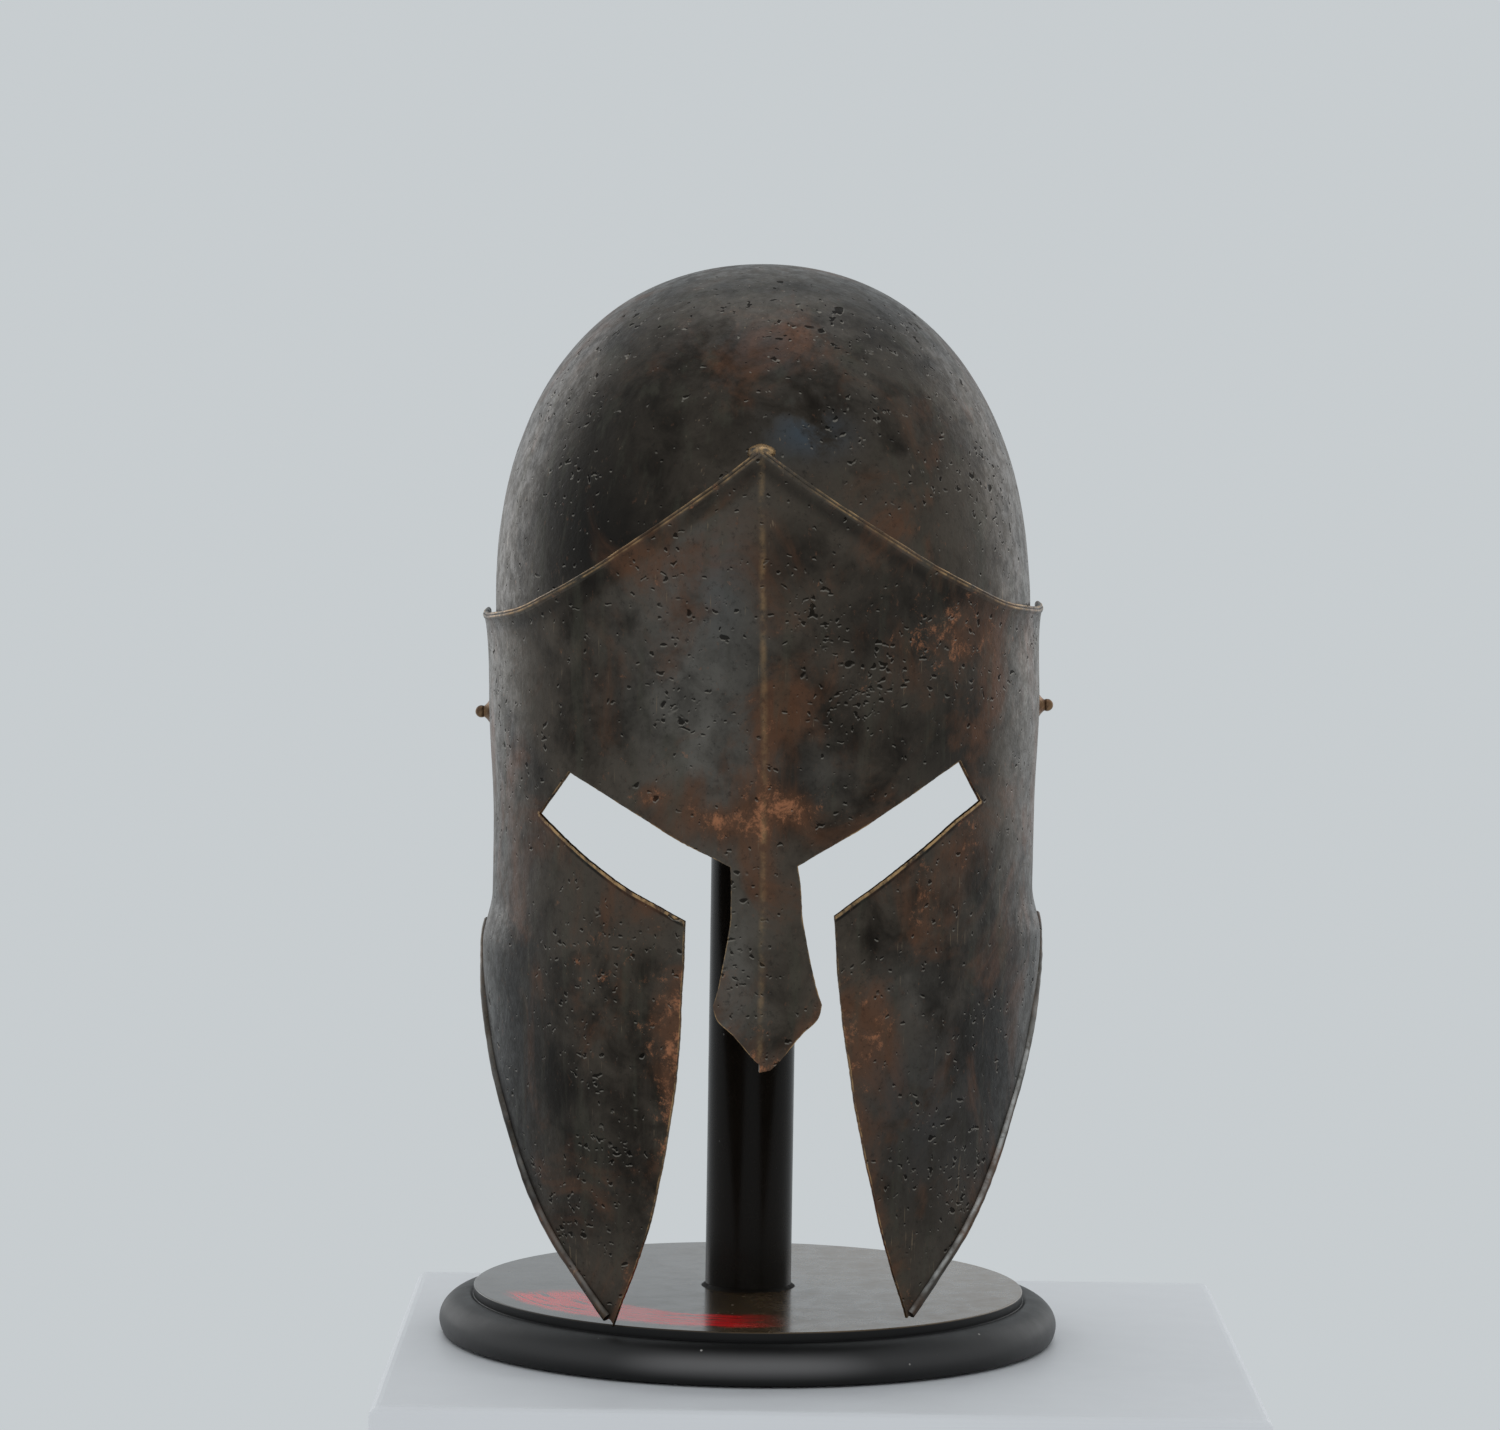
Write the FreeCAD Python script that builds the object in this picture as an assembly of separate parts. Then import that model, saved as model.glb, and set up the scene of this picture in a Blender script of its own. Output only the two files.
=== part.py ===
import FreeCAD, Part
import math
import os

# An ancient Greek helmet on a turned display stand. The face looks towards -Y,
# +Z is up and the underside of the stand lies on Z = 0. The helmet is a deep
# bowl with a creased face plate, fixed at two side studs and brazed at the brow.

# Base of the stand
base_radius = 115.0
base_thickness = 17.2
base_foot_inset = 1.4
disc_radius = 102.3
disc_rise = 3.2
disc_edge_round = 0.6
cove_width = 1.6
felt_thickness = 1.0
felt_inset = 3.5

# Post, its tenon and its screw
post_radius = 16.0
post_length = 362.0
tenon_radius = 10.0
tenon_length = 9.0
screw_radius = 3.0
screw_reach = 45.0
screw_head_radius = 5.5
screw_head_height = 3.0
washer_radius = 6.6
washer_thickness = 1.0
pocket_clearance = 0.6
screw_hole_clearance = 0.2
glue_width = 1.5
glue_height = 1.1

# Support knob that carries the helmet
peg_radius = 6.0
peg_length = 26.0
peg_clearance = 0.05
peg_end_clearance = 2.0
knob_seat_gap = 0.1
knob_radius = 29.0
knob_height = 15.0
knob_crown_radius = 60.0
knob_lip = 4.0
knob_felt_thickness = 1.5
rest_gap = 0.45

# Helmet as a whole
helmet_height = 378.5
sheet = 1.2
lean_angle = 1.5
lean_pivot_drop = 57.0
centre_setback = 4.0

# Bowl
bowl_half_width = 99.2
bowl_half_depth = 118.0
bowl_crown_height = 125.0
bowl_skirt = 52.0
bowl_handle_share = 0.6125

# Face plate, which stands clear of the bowl by the thickness of the rolled brow
# edge that lies between them
plate_side_clearance = 3.1
plate_front_clearance = 3.0
plate_half_width = bowl_half_width + plate_side_clearance
plate_half_depth = bowl_half_depth + plate_front_clearance
crease_height = 7.0
crease_angle = 14.0
crease_handle_share = 0.52
side_handle_share = 0.62
plate_rear = 22.0
cheek_drift = 4.5

# Edge rolls
brow_roll_radius = 1.6
cheek_roll_radius = 2.1
tip_curl_radius = 1.6
tip_curl_reach = 1.4
tip_curl_rise = 4.2

# Side studs and brow braze
stud_above_rim = 12.0
stud_setback = 6.0
stud_shank_radius = 1.5
stud_ball_radius = 2.3
stud_ball_rise = 0.7
boss_radius = 5.4
boss_height = 2.6
boss_top_radius = 2.0
boss_seat = 0.4
burr_radius = 4.5
burr_thickness = 1.0
peened_radius = 2.6
peened_tip_radius = 1.6
peened_height = 1.2
braze_half_width = 5.2
braze_half_height = 3.2
braze_overlap = 1.6

# Halvings of the search for a place on a curve
halvings = 30

# Radii of the knob's domed top, as shares of the knob's radius
dome_shares = [0.35, 0.86, 1.0]

# One overrun that carries every cut past the faces it opens
overrun = 40.0

# How finely curves are divided: flats round the bowl and courses up it, chords
# from the plate's crease to its side, flats round a roll, a lump and the knob,
# courses of a lump, and chords of the stand's nose
bowl_flat_count = 50
bowl_course_count = 11
plate_chord_count = 11
roll_flat_count = 12
lump_flat_count = 12
lump_course_count = 6
knob_flat_count = 32
nose_chord_count = 3

# Face plate sections, from the tips of the cheek guards up: level as a share of
# the helmet's height, half width and half depth as shares of what stands clear
# of the bowl there, and the part of the cheeks' drift to the wearer's right
plate_section_shares = [
    (-0.030, 0.915, 0.955, 1.00),
    (0.130, 0.966, 0.976, 0.90),
    (0.265, 0.998, 0.992, 0.77),
    (0.340, 1.014, 1.000, 0.60),
    (0.390, 0.982, 1.000, 0.42),
    (0.465, 0.984, 1.000, 0.15),
    (0.580, 1.000, 1.000, 0.0),
    (0.680, 1.000, 1.000, 0.0),
    (0.745, 0.999, 1.000, 0.0),
    (0.810, 0.997, 0.998, 0.0),
    (0.870, 0.999, 1.000, 0.0)]

# Upper edge of the plate: across as a share of the plate's half width, up as a
# share of the helmet's height
brow_edge_shares = [
    (0.0, 0.8215),
    (0.146, 0.7915),
    (0.293, 0.7640),
    (0.439, 0.7375),
    (0.585, 0.7115),
    (0.732, 0.6885),
    (0.859, 0.6705),
    (0.976, 0.6615)]

# Nasal, from its root down to its point, same shares
nasal_shares = [
    (0.116, 0.4390),
    (0.120, 0.4175),
    (0.122, 0.3950),
    (0.137, 0.3700),
    (0.166, 0.3290),
    (0.188, 0.3085),
    (0.178, 0.2975),
    (0.117, 0.2810),
    (0.049, 0.2605),
    (0.0, 0.2480)]

# Eye slot and inner edge of the cheek guard, from the nasal root outwards and
# down to the tip, same shares, for the wearer's right and left side
right_eye_shares = [
    (0.122, 0.4390),
    (0.307, 0.4635),
    (0.476, 0.4900),
    (0.684, 0.5220),
    (0.795, 0.4795),
    (0.703, 0.4580),
    (0.509, 0.4195),
    (0.283, 0.3875),
    (0.296, 0.3235),
    (0.309, 0.2675),
    (0.336, 0.2105),
    (0.373, 0.1535),
    (0.425, 0.0960),
    (0.556, -0.0020)]
left_eye_shares = [
    (0.110, 0.4390),
    (0.357, 0.4750),
    (0.515, 0.5005),
    (0.683, 0.5280),
    (0.756, 0.4880),
    (0.652, 0.4690),
    (0.460, 0.4310),
    (0.237, 0.3910),
    (0.248, 0.3365),
    (0.260, 0.2940),
    (0.280, 0.2515),
    (0.312, 0.1945),
    (0.398, 0.0800),
    (0.476, 0.0030)]

# Rear edge seen from the side, from the temple down to the cheek tip: setback
# from the widest section as a share of the plate's half depth, level as before
rear_edge_shares = [
    (0.130, 0.355),
    (0.055, 0.332),
    (-0.035, 0.309),
    (-0.135, 0.276),
    (-0.240, 0.237),
    (-0.385, 0.185),
    (-0.505, 0.133),
    (-0.624, 0.081),
    (-0.722, 0.040),
    (-0.790, 0.0065)]


def above_base():
    return felt_thickness + base_thickness


def post_top():
    return above_base() + post_length


def knob_bottom():
    return post_top() + knob_seat_gap


def crown_inside():
    return knob_bottom() + knob_height + knob_felt_thickness + rest_gap


def helmet_foot():
    return crown_inside() + sheet - helmet_height


def equator():
    return helmet_height - bowl_crown_height


def cylinder(radius, height, level):
    return Part.makeCylinder(radius, height, FreeCAD.Vector(0, 0, level))


def revolved(points):
    """Closed outline in the XZ plane, turned once about Z."""
    wire = Part.makePolygon([FreeCAD.Vector(x, 0, z) for x, z in points + points[:1]])
    return Part.Face(wire).revolve(FreeCAD.Vector(0, 0, 0), FreeCAD.Vector(0, 0, 1), 360)


def base_felt():
    return cylinder(base_radius - base_foot_inset - felt_inset, felt_thickness, 0)


def nose_points(widest, step, shoulder):
    """Chords of the quarter-round from the widest place up to the cove."""
    points = []
    for chord in range(nose_chord_count + 1):
        angle = math.pi / 2 * chord / nose_chord_count
        points.append((shoulder + (base_radius - shoulder) * math.cos(angle),
                       widest + (step - widest) * math.sin(angle)))
    return points


def stand_base():
    """Turned disc: bullnose rim, a small cove, then the raised flat disc."""
    low = felt_thickness
    high = above_base()
    step = high - disc_rise
    widest = low + (step - low) / 3
    shoulder = disc_radius + cove_width
    outline = [(0, low), (base_radius - base_foot_inset, low)]
    outline += nose_points(widest, step, shoulder)
    outline += [(disc_radius, step),
                (disc_radius, high - disc_edge_round),
                (disc_radius - disc_edge_round, high),
                (0, high)]
    mortise = cylinder(tenon_radius, tenon_length, high - tenon_length)
    pocket = cylinder(washer_radius + pocket_clearance, pocket_depth(), low)
    hole = cylinder(screw_radius + screw_hole_clearance, base_thickness, low)
    return revolved(outline).cut(mortise).cut(pocket).cut(hole)


def pocket_depth():
    return screw_head_height + washer_thickness + pocket_clearance


def screw_seat():
    return felt_thickness + pocket_depth()


def stand_post():
    """Turned post with a tenon below and a bore for the knob's peg above."""
    shaft = cylinder(post_radius, post_length, above_base())
    tenon = cylinder(tenon_radius, tenon_length, above_base() - tenon_length)
    bore_depth = peg_length + peg_end_clearance
    bore = cylinder(peg_radius + peg_clearance, bore_depth, post_top() - bore_depth)
    return shaft.fuse(tenon).removeSplitter().cut(bore).cut(post_screw())


def post_screw():
    under = screw_seat() - washer_thickness
    head = cylinder(screw_head_radius, screw_head_height, under - screw_head_height)
    shank = cylinder(screw_radius, screw_reach, under)
    point = Part.makeCone(screw_radius, 0, 2 * screw_radius, FreeCAD.Vector(0, 0, under + screw_reach))
    return head.fuse(shank).fuse(point).removeSplitter()


def screw_washer():
    ring = cylinder(washer_radius, washer_thickness, screw_seat() - washer_thickness)
    return ring.cut(post_screw())


def glue_bead():
    """Thin fillet of glue that creeps out round the foot of the post."""
    low = above_base()
    return revolved([(post_radius, low), (post_radius + glue_width, low), (post_radius, low + glue_height)])


def dome_points(top, count):
    """Places on a shallow dome, from its rim in to its middle."""
    places = []
    for share in dome_shares[:count]:
        reach = knob_radius * share
        drop = knob_crown_radius - math.sqrt(knob_crown_radius ** 2 - reach ** 2)
        places.append((reach, top - drop))
    return places[::-1]


def turned(outline):
    """Outline from axis to axis, turned about Z in flats."""
    rings = [ring(reach, reach, level, knob_flat_count) for reach, level in outline[1:-1]]
    first, last = outline[0], outline[-1]
    return skin(FreeCAD.Vector(0, 0, first[1]), rings, FreeCAD.Vector(0, 0, last[1]))


def support_knob():
    """Turned mushroom head on a peg that turns in the post's bore."""
    low = knob_bottom()
    top = dome_points(low + knob_height, len(dome_shares))
    rim = (top[0][0], top[0][1] - knob_lip)
    head = turned([(0, low), (post_radius, low), rim] + top + [(0, top[-1][1])])
    return head.fuse(cylinder(peg_radius, peg_length, low - peg_length))


def knob_felt():
    """Felt over the knob's crown, of even thickness."""
    under = dome_points(knob_bottom() + knob_height, len(dome_shares) - 1)
    over = [(reach, level + knob_felt_thickness) for reach, level in under]
    return turned([(0, under[-1][1])] + under[::-1] + over + [(0, over[-1][1])])


def ring(half_width, half_depth, level, flats):
    """Corners of an oval ring at a level."""
    corners = []
    for flat in range(flats):
        angle = 2 * math.pi * flat / flats
        corners.append(FreeCAD.Vector(half_width * math.cos(angle), half_depth * math.sin(angle), level))
    return corners


def skin(first, rings, last):
    """Solid between two end points, over rings of as many corners each."""
    faces = []
    for corner in range(len(rings[0])):
        after = (corner + 1) % len(rings[0])
        ends = [[first, rings[0][corner], rings[0][after]], [last, rings[-1][after], rings[-1][corner]]]
        sides = [[low[corner], low[after], high[after], high[corner]] for low, high in zip(rings, rings[1:])]
        for outline in ends + sides:
            faces.append(Part.Face(Part.makePolygon(outline + outline[:1])))
    return Part.Solid(Part.Shell(faces))


def crown_point(along):
    """Reach and rise of the full-shouldered crown, from its top down to the equator."""
    rest = 1 - along
    reach = 3 * rest ** 2 * along * bowl_handle_share + 3 * rest * along ** 2 + along ** 3
    rise = rest ** 3 + 3 * rest ** 2 * along + 3 * rest * along ** 2 * bowl_handle_share
    return reach, rise


def crown_rings(inset):
    """Crown in courses, from its top ring down to the equator."""
    wide = bowl_half_width - inset
    deep = bowl_half_depth - inset
    crown = bowl_crown_height - inset
    rings = []
    for course in range(1, bowl_course_count + 1):
        reach, rise = crown_point(course / bowl_course_count)
        rings.append(ring(wide * reach, deep * reach, equator() + crown * rise, bowl_flat_count))
    return rings


def bowl_rim():
    return equator() - bowl_skirt


def bowl_reach(level):
    """Half width of the bowl at a level, as a share of its widest."""
    near, far = 0.0, 1.0
    for halving in range(halvings):
        along = (near + far) / 2
        if equator() + bowl_crown_height * crown_point(along)[1] > level:
            near = along
        else:
            far = along
    return crown_point(near)[0]


def bowl_shell():
    """Deep raised bowl with a straight skirt, its wall even all over."""
    rim = bowl_rim()
    outer = crown_rings(0) + [ring(bowl_half_width, bowl_half_depth, rim, bowl_flat_count)]
    inner = [ring(bowl_half_width - sheet, bowl_half_depth - sheet, rim, bowl_flat_count)]
    inner += crown_rings(sheet)[::-1]
    top = equator() + bowl_crown_height
    bowl = skin(FreeCAD.Vector(0, 0, top), outer + inner, FreeCAD.Vector(0, 0, top - sheet))
    bowl.translate(FreeCAD.Vector(0, centre_setback, 0))
    return bowl


def section_sizes(row):
    """Half width, half depth and drift of the plate at one of its rows."""
    share, wide, deep, drift = row
    reach = bowl_reach(share * helmet_height)
    return (wide * (bowl_half_width * reach + plate_side_clearance),
            deep * (bowl_half_depth * reach + plate_front_clearance),
            -cheek_drift * drift)


def section_at(level):
    """Half width, half depth and drift of the plate at a level, between its rows."""
    share = level / helmet_height
    rows = plate_section_shares
    for low, high in zip(rows, rows[1:]):
        if share <= high[0]:
            break
    part = (share - low[0]) / (high[0] - low[0])
    return [a + (b - a) * part for a, b in zip(section_sizes(low), section_sizes(high))]


def section_poles(side, level, inset):
    """Poles of half a section, from the crease round to the widest place."""
    half_width, half_depth, drift = section_at(level)
    wide = half_width - inset
    deep = half_depth - inset
    crease = centre_setback - deep - crease_height
    reach = wide * crease_handle_share
    sweep = reach * math.tan(math.radians(crease_angle))
    return [FreeCAD.Vector(drift, crease, level),
            FreeCAD.Vector(drift + side * reach, crease + sweep, level),
            FreeCAD.Vector(drift + side * wide, centre_setback - deep * side_handle_share, level),
            FreeCAD.Vector(drift + side * wide, centre_setback, level)]


def plate_point(side, along, level, inset):
    """Point at a share of the way from the crease to the widest place of a section."""
    poles = section_poles(side, level, inset)
    rest = 1 - along
    weights = (rest ** 3, 3 * rest ** 2 * along, 3 * rest * along ** 2, along ** 3)
    place = FreeCAD.Vector(0, 0, 0)
    for pole, weight in zip(poles, weights):
        place = place + pole * weight
    return place


def section_wire(level, inset, rear):
    """Closed section: both halves in chords from the crease, and a straight rear."""
    right = [plate_point(1, chord / plate_chord_count, level, inset) for chord in range(plate_chord_count + 1)]
    left = [plate_point(-1, chord / plate_chord_count, level, inset) for chord in range(plate_chord_count, 0, -1)]
    right_rear = FreeCAD.Vector(right[-1].x, rear, level)
    left_rear = FreeCAD.Vector(left[0].x, rear, level)
    points = right + [right_rear, left_rear] + left
    return Part.makePolygon(points + points[:1])


def plate_loft(inset, rear):
    """Solid through all sections of the plate, closed straight across its rear."""
    wires = [section_wire(row[0] * helmet_height, inset, rear) for row in plate_section_shares]
    return Part.makeLoft(wires, True, True)


def front_points(shares, side):
    """Outline points in the front view, on the side given by its sign."""
    return [FreeCAD.Vector(side * across * plate_half_width, 0, up * helmet_height) for across, up in shares]


def front_prism(points, front, depth):
    """Prism along Y over a closed outline in the front view."""
    wire = Part.makePolygon(points + points[:1])
    wire.translate(FreeCAD.Vector(0, front, 0))
    return Part.Face(wire).extrude(FreeCAD.Vector(0, depth, 0))


def brow_height(across):
    """Level of the plate's upper edge at a distance from the crease."""
    share = abs(across) / plate_half_width
    rows = brow_edge_shares
    if share >= rows[-1][0]:
        return rows[-1][1] * helmet_height
    for low, high in zip(rows, rows[1:]):
        if share <= high[0]:
            break
    part = (share - low[0]) / (high[0] - low[0])
    return (low[1] + (high[1] - low[1]) * part) * helmet_height


def above_brow():
    half = [FreeCAD.Vector(across * plate_half_width, 0, up * helmet_height)
            for across, up in brow_edge_shares]
    mirrored = [FreeCAD.Vector(-point.x, 0, point.z) for point in half[:0:-1]]
    wide = plate_half_width + overrun
    temple = half[-1].z
    high = helmet_height + overrun
    corners = [FreeCAD.Vector(wide, 0, temple), FreeCAD.Vector(wide, 0, high),
               FreeCAD.Vector(-wide, 0, high), FreeCAD.Vector(-wide, 0, temple)]
    front = -plate_half_depth - overrun
    return front_prism(mirrored + half + corners, front, 2 * plate_half_depth + 2 * overrun)


def face_opening():
    """Both eye slots, the sides of the nasal and the gap between the cheeks."""
    right = front_points(right_eye_shares, -1)
    left = front_points(left_eye_shares, 1)
    nasal_right = front_points(nasal_shares, -1)
    nasal_left = front_points(nasal_shares, 1)
    low = -overrun
    wide = plate_half_width + overrun
    feet = [FreeCAD.Vector(wide, 0, left[-1].z), FreeCAD.Vector(wide, 0, low),
            FreeCAD.Vector(-wide, 0, low), FreeCAD.Vector(-wide, 0, right[-1].z)]
    outline = left + feet + right[::-1] + nasal_right[1:] + nasal_left[-2:0:-1]
    return front_prism(outline, -plate_half_depth - overrun, plate_half_depth + overrun)


def rear_edge_points():
    """Setback and level of the rear edge, from the temple down to the tip."""
    return [(centre_setback + back * plate_half_depth, up * helmet_height) for back, up in rear_edge_shares]


def behind_cheeks():
    """Prism along X over all that lies behind and below the rear edge."""
    edge = rear_edge_points()
    top_level = helmet_height + overrun
    far = plate_half_depth + overrun
    low = -2 * overrun
    outline = [(plate_rear, top_level)] + edge + [(edge[-1][0], low), (far, low), (far, top_level)]
    wide = plate_half_width + overrun
    points = [FreeCAD.Vector(-wide, back, up) for back, up in outline]
    face = Part.Face(Part.makePolygon(points + points[:1]))
    return face.extrude(FreeCAD.Vector(2 * wide, 0, 0))


def side_point(side, back, level, inset):
    """Point of the plate at a setback and level, on the side given by its sign."""
    near, far = 0.0, 1.0
    if back >= centre_setback:
        widest = plate_point(side, far, level, inset)
        return FreeCAD.Vector(widest.x, back, level)
    for halving in range(halvings):
        along = (near + far) / 2
        if plate_point(side, along, level, inset).y < back:
            near = along
        else:
            far = along
    return plate_point(side, near, level, inset)


def bar(points, radius):
    """Round bar of straight mitred runs through the points."""
    along = (points[1] - points[0]).normalize()
    across = along.cross(FreeCAD.Vector(0, 0, 1)).normalize()
    upright = across.cross(along)
    corners = []
    for flat in range(roll_flat_count):
        angle = 2 * math.pi * flat / roll_flat_count
        corners.append(points[0] + across * (radius * math.cos(angle)) + upright * (radius * math.sin(angle)))
    profile = Part.makePolygon(corners + corners[:1])
    return Part.makePolygon(points).makePipeShell([profile], True, False, 1)


def brow_edge_roll():
    """Rolled upper edge, from one temple over the crease to the other."""
    middle = sheet / 2
    temple = brow_edge_shares[-1][1] * helmet_height
    halves = []
    for side in (-1, 1):
        points = [side_point(side, plate_rear - brow_roll_radius, temple, middle)]
        for chord in range(plate_chord_count, 0, -1):
            along = chord / plate_chord_count
            across = plate_point(1, along, temple, middle).x
            points.append(plate_point(side, along, brow_height(across), middle))
        halves.append(points)
    crease = plate_point(1, 0, brow_height(0), middle)
    return bar(halves[0] + [crease] + halves[1][::-1], brow_roll_radius)


def cheek_roll(side):
    """Bead along the rear edge of a cheek guard, its end turned up inside the tip."""
    middle = sheet / 2
    points = [side_point(side, back, up, middle) for back, up in rear_edge_points()]
    tip = points[-1]
    inward = FreeCAD.Vector(-side * tip_curl_reach, 0, tip_curl_rise)
    curl = Part.makeCylinder(tip_curl_radius, inward.Length, tip, inward)
    return bar(points, cheek_roll_radius).fuse(curl)


def largest(shape):
    """The piece itself, without the off-cuts that fall from its edges."""
    return max(shape.Solids, key=lambda solid: solid.Volume)


def sheet_blank():
    """Creased sheet: brow, temples, nasal and both cheek guards in one piece."""
    shell = plate_loft(0, plate_rear).cut(plate_loft(sheet, plate_rear + overrun))
    return shell.cut(above_brow()).cut(face_opening()).cut(behind_cheeks())


def stud_setting():
    return centre_setback + stud_setback


def stud_height():
    return bowl_rim() + stud_above_rim


def bowl_side(setback, half_width, half_depth):
    """Half width of the bowl's skirt at a setback from its middle."""
    return half_width * math.sqrt(1 - (setback / half_depth) ** 2)


def across_lathe(side, outline):
    """Distances from the middle and radii there, turned in flats about a stud's axis."""
    rings = [ring(reach, reach, out, lump_flat_count) for out, reach in outline]
    body = skin(FreeCAD.Vector(0, 0, outline[0][0]), rings, FreeCAD.Vector(0, 0, outline[-1][0]))
    body.rotate(FreeCAD.Vector(0, 0, 0), FreeCAD.Vector(0, side, 0), 90)
    body.translate(FreeCAD.Vector(0, stud_setting(), stud_height()))
    return body


def plate_face():
    return section_at(stud_height())[0]


def burr_face():
    inside = bowl_side(stud_setback, bowl_half_width - sheet, bowl_half_depth - sheet)
    return inside - burr_thickness


def side_stud(side):
    """Ball-headed rivet, peened over its burr inside the bowl."""
    peened = [(burr_face() - peened_height, peened_tip_radius), (burr_face(), peened_radius)]
    shank = [(burr_face(), stud_shank_radius)]
    centre = plate_face() + boss_height + stud_ball_rise
    neck = math.asin(stud_shank_radius / stud_ball_radius)
    ball = []
    for course in range(lump_course_count):
        angle = neck + (math.pi - neck) * course / lump_course_count
        ball.append((centre - stud_ball_radius * math.cos(angle), stud_ball_radius * math.sin(angle)))
    return across_lathe(side, peened + shank + ball)


def stud_boss(side):
    """Raised cone round the stud, seated on the face plate."""
    low = plate_face() - boss_seat
    return across_lathe(side, [(low, boss_radius), (plate_face() + boss_height, boss_top_radius)])


def stud_burr(side):
    """Washer that the stud is peened over, shaped to the bowl's inside."""
    high = burr_face() + burr_thickness + sheet / 2
    return across_lathe(side, [(burr_face(), burr_radius), (high, burr_radius)])


def lump(half_width, half_depth, half_height, place):
    """Rounded lump in flats, about a place."""
    rings = []
    for course in range(1, lump_course_count):
        angle = math.pi * course / lump_course_count
        reach = math.sin(angle)
        rings.append(ring(half_width * reach, half_depth * reach, half_height * math.cos(angle), lump_flat_count))
    body = skin(FreeCAD.Vector(0, 0, half_height), rings, FreeCAD.Vector(0, 0, -half_height))
    body.translate(place)
    return body


def apex_braze():
    """Lump of brass that joins the crease's top to the bowl behind it."""
    level = brow_height(0)
    near = plate_point(1, 0, level, 0).y
    far = near + crease_height + 2 * sheet
    half_depth = (far - near) / 2 + braze_overlap
    middle = FreeCAD.Vector(0, (near + far) / 2, level)
    return lump(braze_half_width, half_depth, braze_half_height, middle)


def helmet_pieces():
    """All solids of the helmet, in its own upright place with the tips near zero."""
    sides = (-1, 1)
    studs = [side_stud(side) for side in sides]
    shanks = studs[0].fuse(studs[1])
    bowl = bowl_shell().cut(shanks)
    braze = largest(apex_braze().cut(bowl))
    roll = brow_edge_roll()
    cheek_rolls = [cheek_roll(side) for side in sides]
    blank = sheet_blank().cut(shanks)
    bosses = [largest(stud_boss(side).cut(blank).cut(stud)) for side, stud in zip(sides, studs)]
    burrs = [largest(stud_burr(side).cut(bowl).cut(stud)) for side, stud in zip(sides, studs)]
    plate = largest(blank.cut(roll).cut(cheek_rolls[0]).cut(cheek_rolls[1]).cut(braze))
    return {
        "skull_bowl": bowl,
        "face_plate": plate,
        "brow_edge_roll": roll.cut(braze),
        "apex_braze": braze,
        "right_cheek_roll": cheek_rolls[0],
        "left_cheek_roll": cheek_rolls[1],
        "side_studs": Part.makeCompound(studs),
        "stud_bosses": Part.makeCompound(bosses),
        "stud_burrs": Part.makeCompound(burrs)}


def set_on_stand(shape):
    """Leans the helmet to the wearer's right and rests its crown on the knob."""
    pivot = FreeCAD.Vector(0, 0, helmet_height - lean_pivot_drop)
    shape.rotate(pivot, FreeCAD.Vector(0, -1, 0), lean_angle)
    shape.translate(FreeCAD.Vector(0, 0, helmet_foot()))
    return shape


def main():
    os.makedirs("parts", exist_ok=True)
    nodes = {
        "base_felt": base_felt(),
        "stand_base": stand_base(),
        "stand_post": stand_post(),
        "post_screw": post_screw(),
        "screw_washer": screw_washer(),
        "glue_bead": glue_bead(),
        "support_knob": support_knob(),
        "knob_felt": knob_felt()}
    for name, shape in helmet_pieces().items():
        nodes[name] = set_on_stand(shape)
    for name, shape in nodes.items():
        shape.exportStep("parts/" + name + ".step")


main()
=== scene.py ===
import math

import bmesh
import bpy
import numpy as np
from mathutils import Matrix, Vector


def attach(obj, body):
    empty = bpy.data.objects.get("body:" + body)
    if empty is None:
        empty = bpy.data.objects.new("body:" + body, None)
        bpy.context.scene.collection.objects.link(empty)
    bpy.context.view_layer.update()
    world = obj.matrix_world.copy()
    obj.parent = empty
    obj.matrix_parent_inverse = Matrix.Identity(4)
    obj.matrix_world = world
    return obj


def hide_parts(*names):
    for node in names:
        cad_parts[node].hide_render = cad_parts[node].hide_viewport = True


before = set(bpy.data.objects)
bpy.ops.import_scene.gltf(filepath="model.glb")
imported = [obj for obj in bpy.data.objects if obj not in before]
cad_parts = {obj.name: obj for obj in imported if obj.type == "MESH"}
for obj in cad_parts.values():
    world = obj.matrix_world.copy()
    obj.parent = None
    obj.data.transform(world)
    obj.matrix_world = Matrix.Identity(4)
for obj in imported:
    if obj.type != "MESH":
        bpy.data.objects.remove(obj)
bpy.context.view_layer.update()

# Camera. A long lens two metres before the helmet, a little above its brow, that
# looks slightly down and is rolled by less than a degree.
pitch, pan, roll = (math.radians(turn) for turn in (3.754, -0.0658, 0.85))
camera_place = (0, -2.1155, 0.3703)
forward = np.array([math.sin(pan) * math.cos(pitch), math.cos(pan) * math.cos(pitch), -math.sin(pitch)])
level = np.array([math.cos(pan), -math.sin(pan), 0.0])
upward = np.cross(level, forward)
right = level * math.cos(roll) + upward * math.sin(roll)
upward = upward * math.cos(roll) - level * math.sin(roll)
camera = bpy.data.objects.new("camera", bpy.data.cameras.new("camera"))
bpy.context.collection.objects.link(camera)
camera.data.lens = 137.16
camera.data.sensor_width = 36
camera.data.clip_end = 50
camera.matrix_world = Matrix.Translation(camera_place) @ Matrix(
    np.stack([right, upward, -forward], 1).tolist()).to_4x4()
bpy.context.scene.camera = camera

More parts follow.
